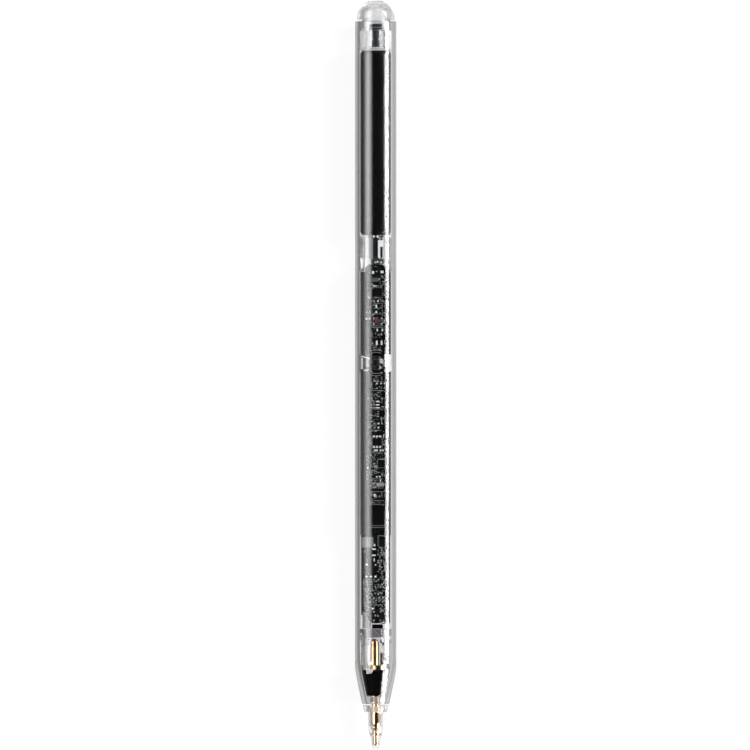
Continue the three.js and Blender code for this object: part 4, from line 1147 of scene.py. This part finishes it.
marks = []
for u, s, long, wide in (
    (1.28, 62.15, 1.9, 1.7), (1.2, 45.3, 2.2, 1.4), (-1.73, 36.3, 1.15, 1.85), (0.3, 66.85, 2.6, 2.1),
    (0.1, 99.4, 2.2, 2.4), (0.45, 93.3, 2.9, 1.9),
):
    marks += printed_frame(u, s, long, wide)
for u, s, wide in (
    (0.5, 97.0, 2.0), (0.5, 96.0, 2.0), (0.45, 92.2, 2.6), (0.45, 91.8, 2.6), (0.6, 80.0, 2.4),
    (0.7, 78.05, 2.4), (0.6, 74.0, 2.2), (0.15, 69.35, 2.1), (0.35, 58.8, 2.6), (1.25, 63.0, 1.3),
    (0.6, 56.0, 2.6), (0.5, 54.05, 2.6), (0.4, 53.25, 3.2), (0.4, 48.6, 3.4), (0.4, 48.2, 3.4),
    (0.0, 105.1, 0.4), (0.5, 64.4, 2.2), (0.2, 31.3, 2.6),
):
    marks.append((u, s, INK_BROAD, wide))
for index in range(7):
    marks.append((-1.89, 58.6 + index * 0.85, 0.22, 0.34))
ink_rows = [(u, s, BOARD_TOP + INK_THICK / 2, long, wide, INK_THICK, 0) for u, s, long, wide in marks]
# and rings round the retainer screw, as far as they show outside its collar: [radius, half angle, side]
SCREW_ACROSS, SCREW_STATION = 0.1, 84.05
for radius, half_angle, side in ((2.35, 26, 1), (2.85, 24, 1), (2.3, 24, -1), (2.8, 20, -1)):
    for turn in range(-half_angle, half_angle + 1, 4):
        swing = math.radians(turn)
        spot = (SCREW_ACROSS + radius * math.sin(swing), SCREW_STATION + side * radius * math.cos(swing))
        ink_rows.append((*spot, BOARD_TOP + INK_THICK / 2, 0.13, radius * 0.08, INK_THICK, -side * turn))
bars("board_printed_marks", ink_rows, ink)


# Retainer collar and screw. A clear bridge snapped over the board on the carrier's walls,
# held down by one dark round-headed screw.
def round_edge(u, s, middle, half, soft):
    """The outline of an oval hollow."""
    reach = ((u - middle[0]) / half[0]).reach((s - middle[1]) / half[1])
    return 1.0 - abs(reach - 1.0).step(soft * 0.5, soft)


def collar_painted_highlight(finish):
    """The collar's right end, its two left ribs, its sloped top edge, a foot and flecks on the right are
    painted matt white: painted highlight where the clear moulding's edges catch light.
    """
    u, s = pen_places(finish)
    mottle = finish.grain(0.45, 2.0)
    block = u.step(2.2, 2.3) * within(s, 82.2, 85.9)
    outer_rib = within(u, -2.8, -2.45) * within(s, 82.7, 85.2)
    inner_rib = within(u, -1.7, -1.35) * within(s, 83.1, 85.0) * 0.6
    slope = within(s + (u + 2.9) * 0.3, 85.35, 85.75, 0.12) * within(u, -2.9, -1.0, 0.2)
    foot = within(u, -2.3, -1.3, 0.2) * within(s, 82.3, 82.75, 0.15) * mottle.step(0.42, 0.5)
    # painted highlight in mottled flecks on the collar's right side
    glint_flecks = within(u, 1.65, 2.4, 0.2) * mottle.step(0.38, 0.62)
    whole = block.larger(outer_rib).larger(inner_rib).larger(slope).larger(foot).larger(glint_flecks)
    return whole * 0.9, (246, 246, 248)


collar_plastic = clear_plastic("clear_collar_moulding", matt_places=(collar_painted_highlight,))
cad_piece("retainer_collar", 0.07, collar_plastic)
screw_black = Finish("screw_black_oxide")
screw_u, screw_s = pen_places(screw_black)
screw_mottle = screw_black.grain(0.6, 3.0)
screw_rings = (screw_u - SCREW_ACROSS).reach(screw_s - SCREW_STATION)
screw_rings = screw_rings.wrapped(0.5).step(0.2, 0.3) * screw_mottle.step(0.4, 0.6)
# painted highlight: pale mottled patches on the side of the head toward the strip of light
screw_painted_glint = screw_u.step(0.5, 1.0) * screw_mottle.step(0.4, 0.6)
screw_dark = screw_black.mixed(screw_rings, colour(9, 9, 10), colour(62, 62, 64))
screw_steel = screw_black.surface(
    Base_Color=screw_black.mixed(screw_painted_glint, screw_dark, colour(206, 206, 208)),
    Roughness=0.4 + screw_mottle * 0.1,
    Specular_IOR_Level=0.1,
    Normal=screw_black.uneven(screw_mottle, 0.02),
)


def upright(name, outline, across, station, sides=64):
    """A mesh turned about an upright line, from an outline of [radius, height above the middle line]."""
    mesh = turned(name, outline, closed=False, sides=sides)
    base = at_mm(0, 0, 0)
    foot = at_mm(across, station, 0)
    for vertex in mesh.vertices:
        x, y, z = vertex.co - base
        vertex.co = foot + Vector((z, y, x))
    mesh.flip_normals()
    return mesh


screw_foot, head_top = heights("retainer_screw")
SCREW_OUTLINE = [
    (0.0, screw_foot), (0.45, screw_foot + 0.05), (0.55, screw_foot + 0.3), (0.55, head_top - 0.5),
    (1.55, head_top - 0.5), (1.55, head_top - 0.22), (1.3, head_top), (0.75, head_top),
    (0.62, head_top - 0.3), (0.0, head_top - 0.33),
]
screw_outline = eased(SCREW_OUTLINE, 0.08, closed=False)
screw_mesh = upright("retainer_screw_turned", screw_outline, SCREW_ACROSS, SCREW_STATION)
fitted(screw_mesh, screw_steel, "barrel", ["retainer_screw"])

# Front of the board. A black plug, a folded grey flex and the clear sensor holder
# with its latch windows, round the gold contact parts behind the nose.
gloss_black = grained("black_moulding_gloss", (5, 3, 4), (10, 7, 8), 0.1, 0.04, 0.4, 0.002, shine=0.2)
cad_piece("board_plug", 0.06, gloss_black)
flex_film = Finish("sensor_flex_film")
flex_grain = flex_film.grain(0.3, 3.0)
flex_u, flex_s = pen_places(flex_film)
# painted shade: a dark line along the flex's crease
flex_crease_shade = 1.0 - abs((flex_s - 25.5) + flex_u).step(0.1, 0.26)
flex_crease_shade = flex_crease_shade * within(flex_u, 0.1, 1.7, 0.2)
flex_grey = flex_film.mixed(flex_grain.step(0.35, 0.65), colour(82, 78, 83), colour(138, 133, 139))
flex_material = flex_film.surface(
    Base_Color=flex_film.mixed(flex_crease_shade * 0.8, flex_grey, colour(34, 28, 32)),
    Roughness=0.5 + flex_grain * 0.15,
    Specular_IOR_Level=0.2,
    Normal=flex_film.uneven(flex_grain, 0.03),
)
FLEX_THICK = 0.08
FLEX_ENDS = (23.85, 26.1)
FLEX_HALF = 1.88
CREASE = (Vector((0.0, 25.5)), Vector((1.6, 23.9)))


def from_crease(u, s):
    """How far a place lies from the crease, with its sign."""
    run = (CREASE[1] - CREASE[0]).normalized()
    return (Vector((u, s)) - CREASE[0]).cross(run)


def flex_height(u, s):
    """The flex drops from the plug into the holder, and is pinched up along one crease."""
    share = (s - FLEX_ENDS[0]) / (FLEX_ENDS[1] - FLEX_ENDS[0])
    drop = -0.78 + 0.78 * share * share * (3 - 2 * share)
    pinch = -0.16 * max(0.0, 1 - abs(from_crease(u, s)) / 0.3)
    swell = 0.26 * math.exp(-((u - 1.25) ** 2 + (s - 25.6) ** 2) / 0.16)
    wave = 0.05 * math.sin(3.1 * u + 2.0 * s) + 0.03 * math.sin(5.2 * s - 2.3 * u)
    return drop + pinch + swell + wave


def crumpled_flex(columns=48, rows=30):
    """A thin film over a grid, closed round its edges."""
    work = bmesh.new()
    sheets = []
    for lift in (0.0, -FLEX_THICK):
        sheet = []
        for row in range(rows + 1):
            s = FLEX_ENDS[0] + (FLEX_ENDS[1] - FLEX_ENDS[0]) * row / rows
            line = [-FLEX_HALF + 2 * FLEX_HALF * column / columns for column in range(columns + 1)]
            sheet.append([work.verts.new(at_mm(u, s, flex_height(u, s) + lift)) for u in line])
        sheets.append(sheet)
        for low, high in zip(sheet, sheet[1:]):
            for column in range(columns):
                work.faces.new((low[column], low[column + 1], high[column + 1], high[column]))
    rim = [(0, column) for column in range(columns)] + [(row, columns) for row in range(rows)]
    rim += [(rows, column) for column in range(columns, 0, -1)] + [(row, 0) for row in range(rows, 0, -1)]
    upper, lower = ([sheet[row][column] for row, column in rim] for sheet in sheets)
    for here in range(len(rim)):
        after = (here + 1) % len(rim)
        work.faces.new((upper[here], upper[after], lower[after], lower[here]))
    return as_mesh(work, "sensor_flex_film")


fitted(crumpled_flex(), flex_material, "barrel", ["sensor_flex"])
TAIL_OUTLINE = [(-2.85, 26.2), (-0.95, 26.2), (-1.0, 27.3), (-1.75, 28.5), (-2.2, 29.7), (-2.85, 29.9)]
fitted(slab("flex_tail", TAIL_OUTLINE, 0.34, 0.42), flex_material, "barrel")
BAR_OUTLINE = [(-3.12, 26.3), (-2.88, 26.3), (-2.88, 29.1), (-3.12, 29.1)]
fitted(slab("front_white_bar", BAR_OUTLINE, 0.34, 0.6), tape_white, "barrel")
bead_rows = []
for step in range(19):
    u = -0.9 + 2.7 * step / 18
    bend = u - 0.1
    s = 27.22 + 0.12 * bend * bend
    bead_rows.append((u, s, BOARD_TOP + 0.05, 0.12, 0.2, 0.1, -math.degrees(math.atan(0.24 * bend))))
bars("board_end_bead", bead_rows, tin)


def latch_white(finish):
    """A matt pip in the latch window."""
    u, s = pen_places(finish)
    return (1.0 - (u + 2.95).reach(s - 25.0).step(0.24, 0.32)) * 0.9, (246, 246, 246)


def latch_dark(finish):
    """Dark lines round the pip's hollow and along the latch tongue, painted shade at their edges, with a dark
    spot right of the tube and dark curls.
    """
    u, s = pen_places(finish)
    # painted shade along the edges of the round hollow and of the latch tongue
    ring = round_edge(u, s, (-2.95, 25.0), (0.5, 0.5), 0.16)
    tongue = round_edge(u, s, (-2.5, 23.2), (0.4, 0.9), 0.14) * (1.0 - s.step(23.3, 23.5))
    spot_u, spot_s = (u - 1.45) / 0.2, (s - 22.9) / 0.4
    dark_spot = 1.0 - (spot_u * spot_u + spot_s * spot_s).step(0.6, 1.2)
    curls = abs(finish.grain(0.9, 1.0) - 0.5).step(0.0, 0.03)
    curls = (1.0 - curls) * within(u, -3.4, -1.5, 0.3) * s.step(22.2, 22.6) * 0.6
    return ring.larger(tongue).larger(dark_spot).larger(curls) * 0.75, (58, 56, 56)


latched_plastic = clear_plastic("clear_latched_moulding", matt_places=(latch_white, latch_dark))
cad_piece("sensor_holder", 0.06, latched_plastic)

LINER_ENDS = (18.4, 25.9)
LINER_RADII = (3.475, 3.505)
LINER_TURNS = (-88, -14)
liner_film = Finish("liner_film")
liner_streak = liner_film.grain(0.35, 2.0, (0.12, 1.0, 1.0))
liner_mottle = liner_film.grain(0.55, 2.0)
liner_back = pen_places(liner_film)[1].step(22.2, 22.8)
liner_shade = liner_back * liner_mottle.step(0.4, 0.6) + (1.0 - liner_back) * liner_streak.step(0.35, 0.65)
liner_dark = liner_film.mixed(liner_back, colour(176, 170, 164), colour(112, 112, 112))
liner_light = liner_film.mixed(liner_back, colour(232, 226, 220), colour(204, 204, 204))
liner_material = liner_film.surface(
    Base_Color=liner_film.mixed(liner_shade, liner_dark, liner_light),
    Roughness=0.5 + liner_streak * 0.2,
    Normal=liner_film.uneven(liner_shade, 0.004),
)


def curved_liner(steps=44):
    """A thin film curved under the holder."""
    work = bmesh.new()
    rows = []
    inner, outer = LINER_RADII
    start, end = LINER_ENDS
    for radius, along in ((inner, start), (inner, end), (outer, end), (outer, start)):
        row = []
        for step in range(steps + 1):
            turn = math.radians(LINER_TURNS[0] + (LINER_TURNS[1] - LINER_TURNS[0]) * step / steps)
            row.append(work.verts.new(at_mm(radius * math.sin(turn), along, -radius * math.cos(turn))))
        rows.append(row)
    for row, after in zip(rows, rows[1:] + rows[:1]):
        for step in range(steps):
            work.faces.new((row[step], row[step + 1], after[step + 1], after[step]))
    for end in (0, steps):
        work.faces.new([row[end] for row in rows])
    return as_mesh(work, "holder_liner")


fitted(curved_liner(), liner_material, "barrel")

# Gold contact parts on the tip rod. A domed tube and an eccentric flange, turned in brass and
# gold plated, with a small bronze spring beside the tube.
gold = grained(
    "gold_plate", (206, 166, 124), (240, 208, 170), 0.07, 0.05, 0.25, 0.002, 2.0, (3.0, 0.4, 0.4), 1.0, 0.5
)
tube_gold = Finish("tarnished_gold_plate")
tube_u, tube_s = pen_places(tube_gold)
tube_rings = tube_gold.grain(0.25, 2.0, (3.0, 0.4, 0.4))
# painted reflection: a dark brown band down the tube's right side stands in for the dark room it mirrors
tube_dark_reflection = within(tube_u, 0.34, 0.8, 0.1)
tube_rosy = tube_s.step(21.6, 22.8) * 0.8
tube_plain_gold = tube_gold.mixed(tube_rosy, colour(226, 188, 140), colour(196, 146, 130))
tube_material = tube_gold.surface(
    Base_Color=tube_gold.mixed(tube_dark_reflection * 0.9, tube_plain_gold, colour(92, 54, 40)),
    Metallic=1.0,
    Roughness=0.1 + tube_rings * 0.06,
    Normal=tube_gold.uneven(tube_rings, 0.002),
)
TUBE_RADIUS = 0.94
TUBE_SHOULDER = 22.75
TUBE_OUTLINE = [(0.0, 18.4), (TUBE_RADIUS, 18.4), (TUBE_RADIUS, TUBE_SHOULDER)]
for turn in range(10, 90, 10):
    rise = math.radians(turn)
    TUBE_OUTLINE.append((TUBE_RADIUS * math.cos(rise), TUBE_SHOULDER + TUBE_RADIUS * math.sin(rise)))
TUBE_OUTLINE += [(0.0, 23.69)]
tube_mesh = turned("contact_tube_turned", TUBE_OUTLINE, closed=False, centre=(-0.25, 0.0), sides=72)
fitted(tube_mesh, tube_material, "tip_rod", ["contact_tube"])
BASE_OUTLINE = [(0.5, 17.3), (1.63, 17.3), (1.63, 18.2), (1.5, 18.35), (0.5, 18.35)]
turned_piece(
    "contact_base", "contact_base_turned", BASE_OUTLINE, 0.06, gold, "tip_rod", "gold_plate",
    centre=(0.35, 0.0), sides=96,
)

spring_growth = Growth(
    "wound_wire",
    {
        "Turns": (NUMBER, 6.0),
        "Coil radius": (NUMBER, 0.3),
        "Length": (NUMBER, 2.0),
        "Wire radius": (NUMBER, 0.1),
        "Metal": MATERIAL,
    },
)
given = spring_growth.given
spring_sockets = {"Resolution": 24, "Rotations": given["Turns"], "Height": given["Length"]}
spring_sockets.update({"Start Radius": given["Coil radius"], "End Radius": given["Coil radius"]})
spring_line = spring_growth.node("GeometryNodeCurveSpiral", None, spring_sockets).outputs[0]
spring_wire = spring_growth.swept(spring_line, spring_growth.circle(10, given["Wire radius"]), True)
spring_growth.close(spring_growth.dressed(spring_wire, "Metal"))


def wound(name, node, across, start, sizes, material, body):
    """A smooth winding along the pen. The sizes are (length, turns, coil radius, wire radius)."""
    length, rounds, coil_radius, wire_radius = sizes
    values = {"Turns": rounds, "Coil radius": coil_radius * MM, "Length": length * MM}
    values.update({"Wire radius": wire_radius * MM, "Metal": material})
    mesh = spring_growth.run(places(name, [(0, 0, 0, 1, 1, 1, 0)]), values)
    base = at_mm(across, start, 0)
    for vertex in mesh.vertices:
        x, y, z = vertex.co
        vertex.co = base + Vector((z, x, y))
    mesh.name = name
    work = bmesh.new()
    work.from_mesh(mesh)
    bmesh.ops.remove_doubles(work, verts=work.verts, dist=1e-8)
    bmesh.ops.recalc_face_normals(work, faces=work.faces)
    work.to_mesh(mesh)
    work.free()
    return fitted(mesh, material, body, [node], angle=60)


bronze = chip_finish("bronze_spring_wire", (60, 42, 32), (94, 70, 54), 0.35, 0.6)
steel = chip_finish("steel_spring_wire", (150, 150, 154), (190, 190, 194), 0.25, 0.95)
SIDE_SPRING = (2.3, 7.0, 0.31, 0.12)
TIP_SPRING = (3.1, 5.0, 1.15, 0.14)
wound("side_spring_winding", "side_spring", 1.38, 18.55, SIDE_SPRING, bronze, "tip_rod")
wound("tip_spring_winding", "tip_spring", 0.0, 12.9, TIP_SPRING, steel, "barrel")

# Nose. A gloss black tapered sleeve holds the tip spring, and a clear bushing in the throat
# guides the gold tip rod.
CONE_OUTLINE = [(1.5, 11.6), (2.04, 11.6), (3.15, 17.2), (0.86, 17.2), (0.86, 16.2), (1.5, 16.2)]
turned_piece("nose_cone", "nose_cone_moulding", CONE_OUTLINE, 0.1, gloss_black, "barrel", "black_moulding")
BUSHING_OUTLINE = [(0.86, 9.85), (1.8, 9.85), (1.8, 10.15), (2.05, 11.45), (0.86, 11.45)]


def bushing_haze(finish):
    """The bushing is milky all through."""
    return 0.28 + finish.grain(0.6).step(0.3, 0.7) * 0.12, (172, 170, 170)


milky = clear_plastic("milky_bushing_moulding", 0.05, (bushing_haze,))
turned_piece(
    "nose_bushing", "nose_bushing_moulding", BUSHING_OUTLINE, 0.06, milky, "barrel", "clear_holder", sides=96
)

rod_start, rod_end = ends("tip_rod")
THREAD_PITCH = 0.5
rod_outline = [(0.0, rod_start), (0.4, rod_start), (0.48, rod_start + 0.1)]
thread_end = 9.25
crest = rod_start + 0.2
while crest + THREAD_PITCH / 2 < thread_end:
    rod_outline += [(0.41, crest), (0.5, crest + THREAD_PITCH / 4), (0.41, crest + THREAD_PITCH / 2)]
    crest += THREAD_PITCH / 2
rod_outline += [
    (0.5, 9.3), (0.8, 9.3), (0.8, 11.5), (1.3, 11.5), (1.3, 12.2), (0.8, 12.2), (0.8, 17.25),
    (0.45, 17.25), (0.45, rod_end), (0.0, rod_end),
]
rod_mesh = turned("tip_rod_turned", rod_outline, closed=False, sides=64)
fitted(rod_mesh, gold, "tip_rod", ["tip_rod"], angle=40)


# Nib. A clear stepped shell with a gold threaded sleeve moulded in, a clear point with its pin,
# and a loose clear collar that carries the barrel's taper forward.
def nib_haze(finish):
    """The nib's plastic is milky in its walls and round the collar."""
    u, s = pen_places(finish)
    walls = abs(u).step(0.85, 1.1) * 0.12
    root = s.step(7.8, 8.2) * (0.16 + finish.grain(0.8, 2.0).step(0.35, 0.7) * 0.12)
    return walls.larger(root), (218, 210, 208)


nib_plastic = clear_plastic("clear_nib_moulding", 0.04, (nib_haze,), (0.97, 0.965, 0.955, 1), 1.43, 0.0008)
COLLAR_OUTLINE = [(1.5, 8.0), (2.5, 8.0), (2.75, 9.4), (1.5, 9.4)]
turned_piece(
    "nib_collar", "nib_collar_moulding", COLLAR_OUTLINE, 0.1, nib_plastic, "nib_ring", "clear_nib", sides=120
)
SHELL_OUTLINE = [
    (0.9, 2.7), (1.27, 2.7), (1.27, 2.95), (1.65, 4.8), (1.65, 7.95), (1.45, 7.95),
    (1.45, 9.3), (1.0, 9.3), (1.0, 5.1), (0.57, 3.8), (0.57, 3.45), (0.9, 3.45),
]
sleeve_start, sleeve_end = ends("nib_sleeve")
SLEEVE_OUTLINE = [
    (0.0, sleeve_start), (0.5, sleeve_start + 0.02), (0.72, sleeve_start + 0.45), (0.66, sleeve_start + 0.62),
    (0.82, sleeve_start + 0.82), (0.95, sleeve_start + 1.35), (0.95, sleeve_end), (0.56, sleeve_end),
    (0.56, sleeve_end - 3.75), (0.0, sleeve_end - 3.8),
]
POINT_OUTLINE = [
    (0.0, 0.0), (0.39, 0.03), (0.62, 0.17), (0.82, 0.55), (1.12, 2.5), (1.12, 2.6),
    (0.85, 2.6), (0.85, 3.4), (0.57, 3.4), (0.57, 0.8), (0.0, 0.58),
]
pin_start, pin_end = ends("point_pin")
PIN_OUTLINE = [
    (0.0, pin_start), (0.3, pin_start + 0.05), (0.5, pin_start + 0.4), (0.52, pin_start + 0.7),
    (0.52, pin_end), (0.0, pin_end),
]
for node, name, outline, ease, slow, closed, sides, material, nib_slot in (
    ("nib_shell", "nib_shell_moulding", SHELL_OUTLINE, 0.08, 12.0, True, 120, nib_plastic, "clear_nib"),
    ("nib_sleeve", "nib_sleeve_turned", SLEEVE_OUTLINE, 0.05, 0.6, False, 72, gold, "gold_plate"),
    ("nib_point", "nib_point_moulding", POINT_OUTLINE, 0.05, 2.0, False, 96, nib_plastic, "clear_nib"),
    ("point_pin", "point_pin_turned", PIN_OUTLINE, 0.04, 1.0, False, 48, gold, "gold_plate"),
):
    turned_piece(node, name, outline, ease, material, "nib", nib_slot, slow, closed, sides=sides)

# Switch end. A small round board with the switch and a clear guide sleeve stand in the barrel,
# and the clear domed cap slides in the sleeve and presses the switch through a dark T-shaped post.
pale_board = grained("pale_glass_board", (196, 196, 192), (222, 222, 218), 0.45)
cad_piece("switch_board", 0.04, pale_board)
post_plastic = Finish("post_moulding")
post_lines = post_plastic.grain(0.18, 2.0, (0.06, 1.0, 1.0))
post_material = post_plastic.surface(
    Base_Color=post_plastic.mixed(post_lines.step(0.4, 0.62), colour(30, 30, 32), colour(66, 66, 68)),
    Roughness=0.35 + post_lines * 0.15,
    Specular_IOR_Level=0.15,
    Normal=post_plastic.uneven(post_lines, 0.02),
)
SWITCH_OUTLINE = [(0.0, 152.9), (0.86, 152.9), (0.82, 154.4), (0.66, 154.4), (0.66, 153.9), (0.0, 153.9)]
PLUNGER_OUTLINE = [
    (0.0, 154.35), (0.6, 154.35), (0.6, 154.8), (0.76, 154.9), (0.74, 156.0), (0.84, 156.7), (1.5, 156.7),
    (1.5, 157.2), (1.3, 157.32), (1.42, 157.44), (1.42, 157.8), (1.3, 157.94), (0.0, 157.94),
]
turned_piece(
    "switch_body", "switch_body_moulding", SWITCH_OUTLINE, 0.06, post_material, "barrel", "dark_moulding",
    closed=False, sides=72,
)
plunger = turned_piece(
    "switch_plunger", "switch_plunger_moulding", PLUNGER_OUTLINE, 0.05, post_material, "cap", "dark_moulding",
    0.5, False, sides=96,
)
# the post's head is smoother than its stem
HEAD_START = 156.72
plunger.data.materials.append(chip_finish("post_head_moulding", (6, 6, 7), (16, 16, 17), 0.3, 0.0, 0.08))
for polygon in plunger.data.polygons:
    if station_of(polygon.center.x) > HEAD_START:
        polygon.material_index = 1

GUIDE_OUTLINE = [
    (1.9, 152.45), (3.5, 152.45), (3.5, 158.3), (3.15, 158.3), (3.15, 156.5), (1.7, 156.5),
    (1.7, 152.9), (1.9, 152.9),
]


def guide_haze(finish):
    """The guide sleeve is milky on the side away from the strip of light."""
    u = pen_places(finish)[0]
    return (1.0 - u.step(-1.4, -1.0)) * 0.08, (208, 208, 209)


guide_plastic = clear_plastic("clear_guide_moulding", matt_places=(guide_haze,))
turned_piece("cap_guide", "cap_guide_moulding", GUIDE_OUTLINE, 0.07, guide_plastic, "barrel", "clear_holder")

CAP_RADIUS = 4.12
CAP_TOP_RADIUS = 1.3
CAP_START = 158.95
CAP_HEIGHT = 4.05
# the height at which the dome leaves its straight skirt
CAP_SKIRT = 0.12
cap_full = CAP_HEIGHT / math.sqrt(1 - (CAP_TOP_RADIUS / CAP_RADIUS) ** 2)
cap_outline = [
    (0.0, 158.0), (1.1, 158.0), (1.1, 160.9), (1.45, 161.2), (2.0, 161.1), (2.45, 160.6), (2.6, 160.0),
    (2.6, 157.0), (3.1, 157.0), (3.1, CAP_START), (4.0, CAP_START),
]
for step in range(25):
    rise = CAP_SKIRT + (CAP_HEIGHT - CAP_SKIRT) * step / 24
    cap_outline.append((CAP_RADIUS * math.sqrt(1 - (rise / cap_full) ** 2), CAP_START + rise))
cap_outline += [(0.8, 162.99), (0.0, 162.97)]


def cap_haze(finish):
    """The dome is a little milky, more so in patches."""
    u, s = pen_places(finish)
    milk = 0.07 + finish.grain(1.6, 2.0).step(0.35, 0.7) * 0.15 + abs(u).step(1.9, 2.7) * 0.2
    return milk * s.step(158.6, 159.2), (214, 214, 215)


cap_plastic = clear_plastic("clear_cap_moulding", 0.16, (cap_haze,), (0.95, 0.952, 0.955, 1), 1.36, 0.002)
turned_piece(
    "end_cap", "end_cap_moulding", cap_outline, 0.3, cap_plastic, "cap", "clear_barrel", 0.6, False, flat=True
)
